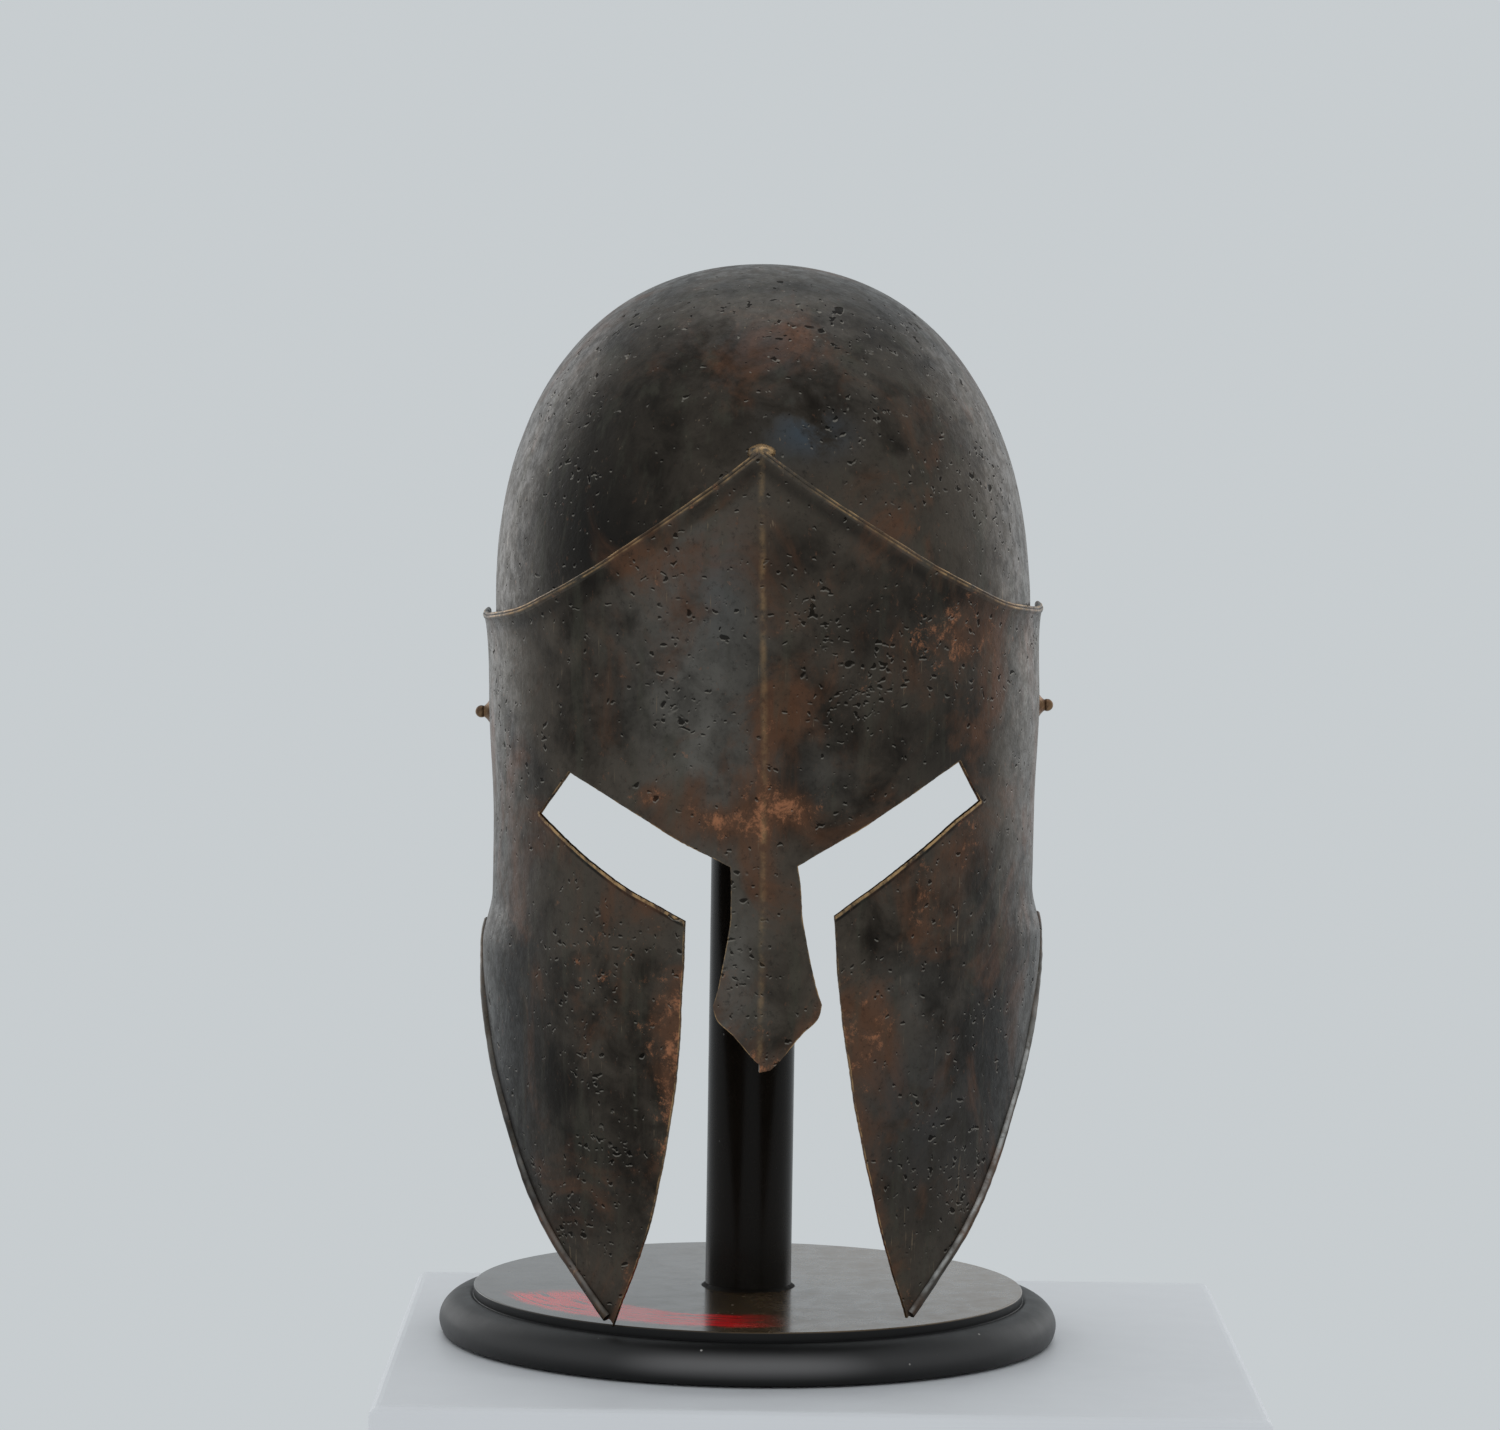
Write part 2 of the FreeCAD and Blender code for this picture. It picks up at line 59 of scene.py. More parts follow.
# Skull bowl. One deep bowl raised from 1.2 mm brass sheet, planished but still
# softly uneven, pitted and dark with age. It hangs behind the face plate. Depth
# and rise are 0.1 to 0.3 mm short of the solid's, so that the dents stay inside.
helmet_height = 0.3785
foot_level = 0.01995
sheet = 0.0012
setback = 0.004
lean, lean_level = math.radians(1.5), 0.3215
bowl_wide, bowl_deep = 0.0992, 0.1177
crown, crown_rise, skirt = 0.125, 0.1249, 0.052
shoulder_share = 0.6125
crown_rows, skirt_rows, bowl_columns = 80, 26, 360


def on_post(points):
    """Leans points to the wearer's right, about a level high in the bowl, and
    lifts them to where the knob holds the crown."""
    across, up = points[..., 0], points[..., 2] - lean_level
    return np.stack([across * math.cos(lean) - up * math.sin(lean), points[..., 1],
                     across * math.sin(lean) + up * math.cos(lean) + lean_level + foot_level], -1)


def ripple(points, size, seed, waves=10):
    """Smooth unevenness between about -1 and 1: twice the mean of some sine waves
    that run in their own directions, with 0.6 to 1.5 waves on each size."""
    chance = np.random.default_rng(seed)
    ways = chance.normal(size=(waves, 3))
    ways *= chance.uniform(0.6, 1.5, (waves, 1)) / np.linalg.norm(ways, axis=1, keepdims=True)
    return np.sin(points @ ways.T * (2 * math.pi / size) + chance.uniform(0, 2 * math.pi, waves)).mean(-1) * 2


def dented(points, *dents):
    """Depth of the dents: for each depth, size and seed, the depth times one plus
    a ripple of that size; the sum of all."""
    return sum(depth * (1 + ripple(points, size, seed)) for depth, size, seed in dents)


def full_turn(steps):
    """Angles of one turn in equal steps from 0."""
    return np.linspace(0, 2 * math.pi, steps, endpoint=False)


def grid_faces(rows, columns, closed=False):
    """Four-cornered faces between neighbours of a grid; closed joins the last
    column to the first."""
    index = np.arange(rows * columns).reshape(rows, columns)
    if closed:
        index = np.concatenate([index, index[:, :1]], 1)
    return np.stack([index[:-1, :-1], index[1:, :-1], index[1:, 1:], index[:-1, 1:]], -1).reshape(-1, 4)


def piece(name, points, faces, body, nodes, materials, marks=None, whole=True, sharp=40):
    """One smooth piece of four-cornered faces, welded where points meet. marks are
    named values at the points that its material reads; whole turns faces outwards."""
    weld = 2e-6
    mesh = bpy.data.meshes.new(name)
    mesh.vertices.add(points.size // 3)
    mesh.vertices.foreach_set("co", points.astype(np.float32).ravel())
    mesh.loops.add(faces.size)
    mesh.loops.foreach_set("vertex_index", faces.astype(np.int32).ravel())
    mesh.polygons.add(len(faces))
    mesh.polygons.foreach_set("loop_start", np.arange(0, faces.size, 4, dtype=np.int32))
    mesh.update(calc_edges=True)
    for mark, values in (marks or {}).items():
        carried = mesh.attributes.new(mark, "FLOAT", "POINT").data
        carried.foreach_set("value", values.astype(np.float32).ravel())
    welded = bmesh.new()
    welded.from_mesh(mesh)
    bmesh.ops.remove_doubles(welded, verts=welded.verts, dist=weld)
    if whole:
        bmesh.ops.recalc_face_normals(welded, faces=welded.faces)
    welded.to_mesh(mesh)
    welded.free()
    mesh.shade_smooth()
    mesh.set_sharp_from_angle(angle=math.radians(sharp))
    obj = bpy.data.objects.new(name, mesh)
    bpy.context.collection.objects.link(obj)
    for material in materials:
        mesh.materials.append(material)
    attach(obj, body)
    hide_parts(*nodes)
    return obj


def node(tree, kind, inputs, **settings):
    """One shader node; an input that is a socket is joined, any other is set."""
    made = tree.nodes.new("ShaderNode" + kind)
    for name, value in settings.items():
        setattr(made, name, value)
    fill(made, inputs)
    return made


def fill(made, inputs):
    """Joins or sets the inputs of a node."""
    for name, value in inputs.items():
        if isinstance(value, bpy.types.NodeSocket):
            join(value, made.inputs[name])
        else:
            made.inputs[name].default_value = value


def join(value, target):
    """Joins one socket to an input in the same tree."""
    target.id_data.links.new(value, target)


def tree_of(values):
    """Node tree of the first socket among some values."""
    return next(value.id_data for value in values if isinstance(value, bpy.types.NodeSocket))


def maths(operation, *values):
    """Result of one operation on sockets and numbers."""
    return node(tree_of(values), "Math", dict(enumerate(values)), operation=operation).outputs[0]


def chained(operation, first, *others):
    """Result of one operation on two values, then on that and the next, to the end."""
    for other in others:
        first = maths(operation, first, other)
    return first


def plus(*values):
    """Sum of sockets and numbers."""
    return chained("ADD", *values)


def times(*values):
    """Product of sockets and numbers."""
    return chained("MULTIPLY", *values)


def highest(*values):
    """Greatest of sockets and numbers."""
    return chained("MAXIMUM", *values)


def band(value, start, end, low=0.0, high=1.0):
    """Number that eases from low to high as value goes from start to end."""
    ends = {"Value": value, "From Min": start, "From Max": end, "To Min": low, "To Max": high}
    return node(value.id_data, "MapRange", ends, interpolation_type="SMOOTHSTEP").outputs[0]


def blend(share, first, second):
    """Colour mixed from two: the second's share counts."""
    return node(share.id_data, "Mix", {0: share, 6: first, 7: second}, data_type="RGBA").outputs[2]


def cloud(place, scale, detail=4.0, rough=0.55, twist=0.0):
    """Noise between 0 and 1 with so many clouds to the metre."""
    look = {"Vector": place, "Scale": scale, "Detail": detail, "Roughness": rough, "Distortion": twist}
    return node(place.id_data, "TexNoise", look).outputs["Fac"]


def turned_place(place, turn, scale):
    """Place stretched along the axes and then turned about them."""
    return node(place.id_data, "Mapping", {"Vector": place, "Rotation": turn, "Scale": scale}).outputs[0]


def effect(name, inputs, outputs):
    """Empty node group with its input and output sockets."""
    made = bpy.data.node_groups.new(name, "ShaderNodeTree")
    for sockets, way in ((inputs, "INPUT"), (outputs, "OUTPUT")):
        for label, kind in sockets.items():
            made.interface.new_socket(name=label, in_out=way, socket_type="NodeSocket" + kind)
    return made, made.nodes.new("NodeGroupInput").outputs, made.nodes.new("NodeGroupOutput").inputs


def use(made, inputs):
    """Places a node group in the tree of its inputs, and joins them."""
    placed = tree_of(inputs.values()).nodes.new("ShaderNodeGroup")
    placed.node_tree = made
    fill(placed, inputs)
    return placed.outputs


# Corrosion pits: ragged little holes where a stretched noise stands above a level
# that falls with the density, each with a painted highlight on its lower lip. Three
# layers of them, each with its turn, stretch, holes to the metre and rarity.
pit_layers = [((0.2, 0.4, 0.1), (1, 1, 1.5), 230.0, -0.004),
              ((-0.3, -1.1, 0.9), (1, 1, 1.5), 300.0, -0.006),
              ((0.2, 0.3, -0.5), (1, 1, 1.3), 140.0, 0.034)]
pit_level, pit_fall, pit_slope = 0.762, 0.125, 0.045
lip_drop = 0.00055


def pitted_places(place, density):
    """Mask of the holes: how far the noise stands above its level, over the slope;
    the deepest of the layers."""
    masks = []
    for turn, stretch, count, rarity in pit_layers:
        rise = cloud(turned_place(place, turn, stretch), count, 1.6, 0.5, 0.35)
        level = maths("MULTIPLY_ADD", density, -pit_fall, pit_level + rarity)
        masks.append(band(maths("SUBTRACT", rise, level), 0.0, pit_slope))
    return highest(*masks)


pits, given, result = effect(
    "corrosion_pits", {"Place": "Vector", "Density": "Float"}, {"Hole": "Float", "LipHighlight": "Float"})
above = node(pits, "VectorMath", {0: given["Place"], 1: (0, 0, lip_drop)}, operation="ADD").outputs[0]
hole = pitted_places(given["Place"], given["Density"])
join(hole, result["Hole"])
# The lip is a painted highlight: the holes found a little higher, less the holes themselves.
join(times(pitted_places(above, given["Density"]), maths("SUBTRACT", 1.0, hole)), result["LipHighlight"])

# Aged brass skin: near-black brown patina in clouds, copper-red and bluish places,
# dull vertical runs, brass bare at worn edges, and the relief of hammer and pits.
dark_patina, light_patina = (0.018, 0.015, 0.0122, 1), (0.084, 0.069, 0.0545, 1)
# The pale grey and deep grey tints are painted highlight and painted shade, led by the pale mark; on a few
# pieces the mark is only a paler tone.
pale_highlight_grey, painted_shade_grey, blue_grey = (0.16, 0.15, 0.134, 1), (0.02, 0.018, 0.016, 1), (0.068, 0.088, 0.108, 1)
brown, run_grey, copper_red = (0.142, 0.068, 0.039, 1), (0.08, 0.078, 0.058, 1), (0.43, 0.185, 0.095, 1)
rust_brown, soot_black, scratched = (0.19, 0.092, 0.056, 1), (0.022, 0.02, 0.018, 1), (0.24, 0.18, 0.12, 1)
# The lip tint is a painted highlight on the lower rim of each pit.
bare_brass, hole_black, painted_lip_highlight = (0.56, 0.355, 0.17, 1), (0.007, 0.006, 0.005, 1), (0.27, 0.245, 0.21, 1)
surface = {"Color": "Color", "Roughness": "Float", "Height": "Float"}
skin, given, result = effect(
    "aged_brass_skin", {"Place": "Vector", "Warm": "Float", "Blue": "Float", "PaleAndPaintedLight": "Float",
                        "Bare": "Float", "Pits": "Float"}, surface)
place = given["Place"]
mottle = cloud(place, 62.0, 8.0, 0.62, 0.3)
grit = cloud(place, 640.0, 4.0, 0.6)
tone = plus(times(cloud(place, 11.0, 5.0, 0.55, 0.5), 0.55), times(mottle, 0.45))
browned = plus(cloud(turned_place(place, (0.4, 0.2, 0.7), (1, 1, 0.8)), 24.0, 7.0, 0.65, 0.8),
               times(given["Warm"], 0.16))
runs = cloud(turned_place(place, (0, 0, 0), (1, 1, 0.14)), 130.0, 5.0, 0.6)
copper = plus(cloud(place, 150.0, 10.0, 0.85, 0.3), times(given["Warm"], 0.15))
rust = cloud(turned_place(place, (0.5, 0.1, 0.2), (1, 1, 0.6)), 330.0, 6.0, 0.75)
soot = cloud(place, 420.0, 6.0, 0.8)
scratch = cloud(turned_place(place, (0.2, 0.9, 0.3), (1, 1, 0.045)), 900.0, 2.0, 0.5)
clusters = band(cloud(place, 26.0, 3.0, 0.5), 0.38, 0.66, 0.35, 1.15)
pitted = use(pits, {"Place": place, "Density": times(clusters, given["Pits"])})
color = blend(band(tone, 0.37, 0.61), dark_patina, light_patina)
# The first two tints paint light and shade: paler grey where the pale mark is above nothing, darker grey
# where it is below.
for share, tint in (
        (times(given["PaleAndPaintedLight"], band(mottle, 0.3, 0.62, 0.45, 1.0)), pale_highlight_grey),
        (times(given["PaleAndPaintedLight"], -1.0), painted_shade_grey),
        (band(browned, 0.48, 0.72, 0.0, 0.75), brown),
        (times(band(runs, 0.52, 0.68), 0.32), run_grey),
        (times(given["Blue"], band(mottle, 0.36, 0.6)), blue_grey),
        (band(copper, 0.6, 0.74, 0.0, 0.85), copper_red),
        (band(rust, 0.6, 0.72, 0.0, 0.42), rust_brown),
        (band(soot, 0.52, 0.7, 0.0, 0.55), soot_black),
        (times(band(scratch, 0.68, 0.74), band(mottle, 0.5, 0.62), 0.6), scratched),
        (times(given["Bare"], band(cloud(place, 240.0, 6.0, 0.65), 0.34, 0.6)), bare_brass),
        (times(pitted["Hole"], 0.72), hole_black),
        (times(pitted["LipHighlight"], 0.62), painted_lip_highlight)):
    color = blend(share, color, tint)
dents = node(skin, "TexVoronoi", {"Vector": place, "Scale": 46.0, "Smoothness": 1.0}, feature="SMOOTH_F1")
join(color, result["Color"])
join(plus(band(cloud(place, 160.0, 6.0, 0.75), 0.35, 0.65, 0.3, 0.46), times(grit, 0.08),
          times(pitted["Hole"], 0.25)), result["Roughness"])
join(plus(times(dents.outputs["Distance"], 0.2), times(mottle, 0.24), times(grit, 0.07),
          times(cloud(place, 210.0, 3.0, 0.6), 0.17), times(pitted["Hole"], -0.55),
          times(pitted["LipHighlight"], 0.1)), result["Height"])


def finish(name, metallic=0.0):
    """New material, its tree, its shader's inputs, and the place on the piece."""
    material = bpy.data.materials.new(name)
    material.use_nodes = True
    tree = material.node_tree
    shader = tree.nodes["Principled BSDF"]
    shader.inputs["Metallic"].default_value = metallic
    return material, tree, shader.inputs, node(tree, "TexCoord", {}).outputs["Object"]


def raise_relief(shader, height, depth):
    """Joins a height between 0 and 1 to the shader as a relief so deep."""
    relief = node(height.id_data, "Bump", {"Strength": 1.0, "Distance": depth, "Height": height})
    join(relief.outputs[0], shader["Normal"])


def mark(tree, name):
    """Value that the mesh carries at its points."""
    return node(tree, "Attribute", {}, attribute_name=name).outputs["Fac"]


def aged_brass(name, warm=0.0, blue=0.0, pale_and_painted_light=0.0, bare=0.0, pitting=0.0):
    """Material of aged brass skin; each argument is a number, a mark's name, or a
    way to work the value out in the material's tree."""
    material, tree, shader, place = finish(name, 1.0)
    inputs = {"Place": place}
    for label, value in zip(("Warm", "Blue", "PaleAndPaintedLight", "Bare", "Pits"), (warm, blue, pale_and_painted_light, bare, pitting)):
        if isinstance(value, str):
            value = mark(tree, value)
        inputs[label] = value(tree) if callable(value) else value
    skin_on = use(skin, inputs)
    join(skin_on["Color"], shader["Base Color"])
    join(skin_on["Roughness"], shader["Roughness"])
    raise_relief(shader, skin_on["Height"], 0.0009)
    return material


def places(points, spots):
    """Soft spots on the front of a piece: for each x, z, width, height and strength,
    the strength times e to minus the square of the distance over the size; the sum."""
    front_end = 0.03
    total = np.zeros(points.shape[:-1])
    for x, z, wide, high, strength in spots:
        total += strength * np.exp(-((points[..., 0] - x) / wide) ** 2 - ((points[..., 2] - z) / high) ** 2)
    return total * (points[..., 1] < front_end)


def crown_profile(inset):
    """Half width, half depth and level down the bowl: a cubic, with handles the
    shoulder's share long, to the widest place, and then a straight skirt."""
    along = np.linspace(0, 1, crown_rows)
    rest = 1 - along
    reach = 3 * rest ** 2 * along * shoulder_share + 3 * rest * along ** 2 + along ** 3
    rise = rest ** 3 + 3 * rest ** 2 * along + 3 * rest * along ** 2 * shoulder_share
    equator = helmet_height - crown
    hanging = np.linspace(equator, equator - skirt, skirt_rows)[1:]
    reach = np.concatenate([reach, np.ones(len(hanging))])
    return reach * (bowl_wide - inset), reach * (bowl_deep - inset), np.concatenate(
        [equator + (crown_rise - inset) * rise, hanging])


wide, deep, levels = (np.concatenate([a, b[::-1]]) for a, b in zip(crown_profile(0), crown_profile(sheet)))
turn = full_turn(bowl_columns)
bowl = np.stack([wide[:, None] * np.cos(turn), deep[:, None] * np.sin(turn),
                 np.repeat(levels[:, None], len(turn), 1)], -1)
bowl[..., :2] *= 1 - dented(bowl, (0.002, 0.06, 3), (0.0008, 0.024, 4))[..., None]
bowl[..., 1] += setback
bowl = on_post(bowl)
bowl_marks = {
    "warm": places(bowl, [
        (0.04, 0.322, 0.022, 0.02, 0.55), (0.06, 0.3, 0.016, 0.014, 0.4), (0.0, 0.392, 0.03, 0.01, 0.45),
        (-0.06, 0.37, 0.02, 0.012, 0.3)]) - 0.3,
    "blue": places(bowl, [
        (0.017, 0.338, 0.013, 0.008, 0.85), (0.0, 0.368, 0.03, 0.012, 0.2)]),
    # Painted highlight near the top and right of the front, painted shade on the left and middle of the
    # front.
    "pale_and_painted_light": places(bowl, [
        (0.03, 0.352, 0.03, 0.016, 0.25), (0.0, 0.388, 0.06, 0.01, 0.3), (-0.06, 0.3, 0.026, 0.045, -1.0),
        (0.0, 0.34, 0.05, 0.02, -0.3)]),
    "pitting": places(bowl, [
        (0.018, 0.378, 0.04, 0.014, 0.35), (-0.07, 0.33, 0.03, 0.04, 0.2), (0.07, 0.32, 0.03, 0.04, 0.3),
        (0.03, 0.345, 0.02, 0.012, 0.2)]) + 0.45}
bowl_skin = aged_brass("bowl_brass", "warm", "blue", "pale_and_painted_light", pitting="pitting")
piece("helmet_bowl", bowl, grid_faces(len(levels), bowl_columns, True), "helmet",
      ["skull_bowl"], [bowl_skin], bowl_marks)

# Face plate. One sheet of the same brass, creased down the middle: brow, temples,
# nasal and both long cheek guards. Sawn out, bent, and filed by hand at the edges.
plate_wide, plate_deep = 0.1023, 0.121
crease_height, crease_slope, crease_run = 0.007, math.tan(math.radians(14)), 0.0625
crease_handle_share, side_handle_share = 0.52, 0.62
cheek_drift = 0.0045
rear_run, rear_stop = 0.225, 0.018
roll_end_step, roll_end_ease = 0.0023, 0.012
flare, flare_fade = 0.0013, 0.0035
filed_edge = 0.00022

# Sections from the foot up: level, half width and half depth as shares, and the
# part of the drift. The calm rows leave out the waist above the cheek guards.
section_shares = np.array([
    (-0.030, 0.915, 0.955, 1.00), (0.130, 0.966, 0.976, 0.90), (0.265, 0.998, 0.992, 0.77),
    (0.340, 1.014, 1.000, 0.60), (0.390, 0.982, 1.000, 0.42), (0.465, 0.984, 1.000, 0.15),
    (0.580, 1.000, 1.000, 0.0), (0.680, 1.000, 1.000, 0.0), (0.745, 0.980, 0.981, 0.0),
    (0.810, 0.925, 0.926, 0.0), (0.870, 0.836, 0.836, 0.0)])
calm_rows = [0, 1, 5, 6, 7, 8, 9, 10]

# Edges in the front view, as shares of half the width and of the height: the brow,
# the nasal, and each eye slot and inner cheek edge from the nose round to the tip.
brow_shares = np.array([
    (0.0, 0.8215), (0.146, 0.7915), (0.293, 0.7640), (0.439, 0.7375), (0.585, 0.7115),
    (0.732, 0.6885), (0.859, 0.6705), (0.976, 0.6615)])
nasal_shares = np.array([
    (0.120, 0.4175), (0.122, 0.3950), (0.137, 0.3700), (0.166, 0.3290), (0.188, 0.3085),
    (0.178, 0.2975), (0.117, 0.2810), (0.049, 0.2605), (0.0, 0.2480)])
eye_shares = {
    -1: np.array([
        (0.122, 0.4390), (0.307, 0.4635), (0.476, 0.4900), (0.684, 0.5220), (0.795, 0.4795),
        (0.703, 0.4580), (0.509, 0.4195), (0.283, 0.3875), (0.296, 0.3235), (0.309, 0.2675),
        (0.336, 0.2105), (0.373, 0.1535), (0.425, 0.0960), (0.556, -0.0020)]),
    1: np.array([
        (0.110, 0.4390), (0.357, 0.4750), (0.515, 0.5005), (0.683, 0.5280), (0.756, 0.4880),
        (0.652, 0.4690), (0.460, 0.4310), (0.237, 0.3910), (0.248, 0.3365), (0.260, 0.2940),
        (0.280, 0.2515), (0.312, 0.1945), (0.398, 0.0800), (0.476, 0.0030)])}

# Rear edge in the side view, from the tip up, as shares of the depth and height.
rear_shares = np.array([
    (0.130, 0.355), (0.055, 0.332), (-0.035, 0.309), (-0.135, 0.276), (-0.240, 0.237),
    (-0.385, 0.185), (-0.505, 0.133), (-0.624, 0.081), (-0.722, 0.040), (-0.790, 0.0065)])[::-1]

# Points along the slot's upper edge, its end, its lower edge and the inner cheek
# edge, the nasal and its tip; columns by the crease; rows and columns of the rest.
upper_count, end_count, lower_count, inner_count, nasal_count, tip_count = 60, 16, 50, 130, 50, 34
crease_columns, plate_rows, plate_columns = 14, 72, 40


def eased(x, xs, ys):
    """Value at x of a smooth curve through a table: a cubic between two rows,
    with slopes that never pass the table's own, so that it doesn't swing."""
    steps = np.diff(ys) / np.diff(xs)
    same = steps[1:] * steps[:-1] > 0
    middle = np.where(same, 2 * steps[1:] * steps[:-1] / np.where(same, steps[1:] + steps[:-1], 1), 0)
    slopes = np.concatenate([steps[:1], middle, steps[-1:]])
    at = np.clip(np.searchsorted(xs, x) - 1, 0, len(steps) - 1)
    width = np.diff(xs)[at]
    part = (x - xs[at]) / width
    return (ys[at] * (1 + 2 * part) * (1 - part) ** 2 + slopes[at] * width * part * (1 - part) ** 2
            + ys[at + 1] * part ** 2 * (3 - 2 * part) + slopes[at + 1] * width * part ** 2 * (part - 1))


def smooth(value, start, end):
    """Share that eases from 0 at start to 1 at end."""
    part = np.clip((value - start) / (end - start), 0, 1)
    return part * part * (3 - 2 * part)


def plate_surface(side, along, up, inset=0.0):
    """Point of the plate: along runs from 0 at the crease to 1 at the widest
    place, as a cubic with four poles, and on past it straight to the rear. The
    waist above the cheek guards is pinched at the sides and calm at the front."""
    share = up / helmet_height
    rows, calm = section_shares, section_shares[calm_rows]
    pinch = smooth(along, 0.55, 0.95)
    half_width = plate_wide * (pinch * eased(share, rows[:, 0], rows[:, 1])
                               + (1 - pinch) * eased(share, calm[:, 0], calm[:, 1])) - inset
    half_depth = plate_deep * eased(share, rows[:, 0], rows[:, 2]) - inset
    drift = -cheek_drift * eased(share, calm[:, 0], calm[:, 3])
    near = np.clip(along, 0, 1)
    rest = 1 - near
    reach = half_width * crease_handle_share
    weights = 3 * rest ** 2 * near, 3 * rest * near ** 2, near ** 3
    x = drift + side * (weights[0] * reach + (weights[1] + weights[2]) * half_width)
    front = setback - half_depth - crease_height
    y = (rest ** 3 * front + weights[0] * (front + reach * crease_slope)
         + weights[1] * (setback - half_depth * side_handle_share) + weights[2] * setback)
    return np.stack([x, y + np.maximum(along - 1, 0) * rear_run, up + 0 * along], -1)


def along_for(side, up, wanted, axis):
    """Halves the range until the plate has the wanted x or y at that level."""
    low, high = np.zeros(np.shape(up)), np.full(np.shape(up), 1.0 if axis == 0 else 1.2)
    sign = side if axis == 0 else 1
    for halving in range(40):
        middle = (low + high) / 2
        short = sign * plate_surface(side, middle, up)[..., axis] < sign * wanted
        low, high = np.where(short, middle, low), np.where(short, high, middle)
    return low


def cut_line(shares, side, count, seed):
    """Sawn and filed line through a few points of the front view, in metres, that
    strays up to a fifth of a millimetre but keeps its ends."""
    points = np.asarray(shares) * [side * plate_wide, helmet_height]
    lengths = np.concatenate([[0], np.cumsum(np.hypot(*np.diff(points, axis=0).T))])
    way = np.linspace(0, lengths[-1], count)
    line = np.stack([eased(way, lengths, points[:, 0]), eased(way, lengths, points[:, 1])], -1)
    chance = np.random.default_rng(seed)
    stray = chance.normal(0, 0.00004, count) + 0.00014 * np.sin(way / 0.0051 + seed) * np.sin(way / 0.0134)
    ends = np.minimum(smooth(way, 0, 0.004), smooth(way, lengths[-1], lengths[-1] - 0.004))
    ahead = np.gradient(line, axis=0)
    ahead /= np.linalg.norm(ahead, axis=1, keepdims=True)
    return line + ahead[:, ::-1] * [-1, 1] * (stray * ends)[:, None]


def brow_level(along):
    """Level of the upper edge at a share of the half section, found in a few
    rounds because the width there depends on the level."""
    up = np.full(np.shape(along), 0.26)
    for step in range(8):
        across = np.abs(plate_surface(1, along, up)[..., 0]) / plate_wide
        up = helmet_height * eased(np.minimum(across, brow_shares[-1, 0]), *brow_shares.T)
    return up


def rear_edge(up):
    """How far back the rear edge lies at levels given as shares of the height."""
    return setback + plate_deep * eased(up, rear_shares[:, 1], rear_shares[:, 0])


def plate_half(side):
    """Four grids of (along, up) for one half, brow, temple, cheek and nasal, that
    share their places along the seams, and the line of all its cut edges."""
    eyes = eye_shares[side]
    upper = cut_line(eyes[:4], side, upper_count, 5 + side)
    end = cut_line(eyes[3:5], side, end_count, 9 + side)
    lower = cut_line(eyes[4:8], side, lower_count, 15 + side)
    inner = cut_line(eyes[7:], side, inner_count, 25 + side)
    nasal_edge = np.concatenate([
        cut_line(np.concatenate([eyes[:1], nasal_shares[:5]]), side, nasal_count, 35 + side),
        cut_line(nasal_shares[4:], side, tip_count, 45 + side)[1:]])
    rear = 1 + rear_stop / rear_run
    slot = along_for(side, upper[:, 1], upper[:, 0], 0)
    bottom = np.concatenate([np.linspace(0, slot[0], crease_columns)[:-1], slot])
    bottom_up = np.concatenate([np.full(crease_columns - 1, upper[0, 1]), upper[:, 1]])
    share = (1 - (1 - np.linspace(0, 1, plate_rows)) ** 1.25)[:, None]
    across = np.linspace(slot[-1], rear, plate_columns)
    brow, temple = (np.stack([np.repeat(at[None], plate_rows, 0), foot + (brow_level(at) - foot) * share], -1)
                    for at, foot in ((bottom, bottom_up), (across, upper[-1, 1])))
    left = np.concatenate([end, lower[1:], inner[1:]])
    up = left[:, 1]
    left_along = along_for(side, up, left[:, 0], 0)
    top = rear_shares[-1, 1] * helmet_height
    back = np.where(up > top, setback + plate_deep * rear_shares[-1, 0], rear_edge(up / helmet_height))
    back = back + roll_end_step * smooth(up, top, top + roll_end_ease)
    right_along = along_for(side, up, np.minimum(back, setback + rear_stop), 1)
    right_along[0] = rear
    close = np.clip((up - up[-1]) / (rear_shares[0, 1] * helmet_height - up[-1]), 0, 1)
    right_along = left_along + (right_along - left_along) * close
    reach = (right_along - left_along)[:, None] * np.linspace(0, 1, plate_columns)
    cheek = np.stack([left_along[:, None] + reach, np.repeat(up[:, None], plate_columns, 1)], -1)
    nasal_along = along_for(side, nasal_edge[:, 1], nasal_edge[:, 0], 0)
    nasal_along[-1] = 0
    nasal = np.stack([nasal_along[:, None] * np.linspace(0, 1, crease_columns),
                      np.repeat(nasal_edge[:, 1:], crease_columns, 1)], -1)
    edges = np.concatenate([np.stack(line, -1) for line in (
        (slot, upper[:, 1]), (left_along, up), (nasal_along, nasal_edge[:, 1]))])
    return [brow[::-1], temple[::-1], cheek, nasal], edges


def nearest(points, line):
    """Distance from each point to the nearest point of a line, part by part."""
    parts = np.array_split(points, max(1, len(points) // 600))
    return np.concatenate([np.sqrt(((part[:, None] - line[None]) ** 2).sum(-1)).min(1) for part in parts])


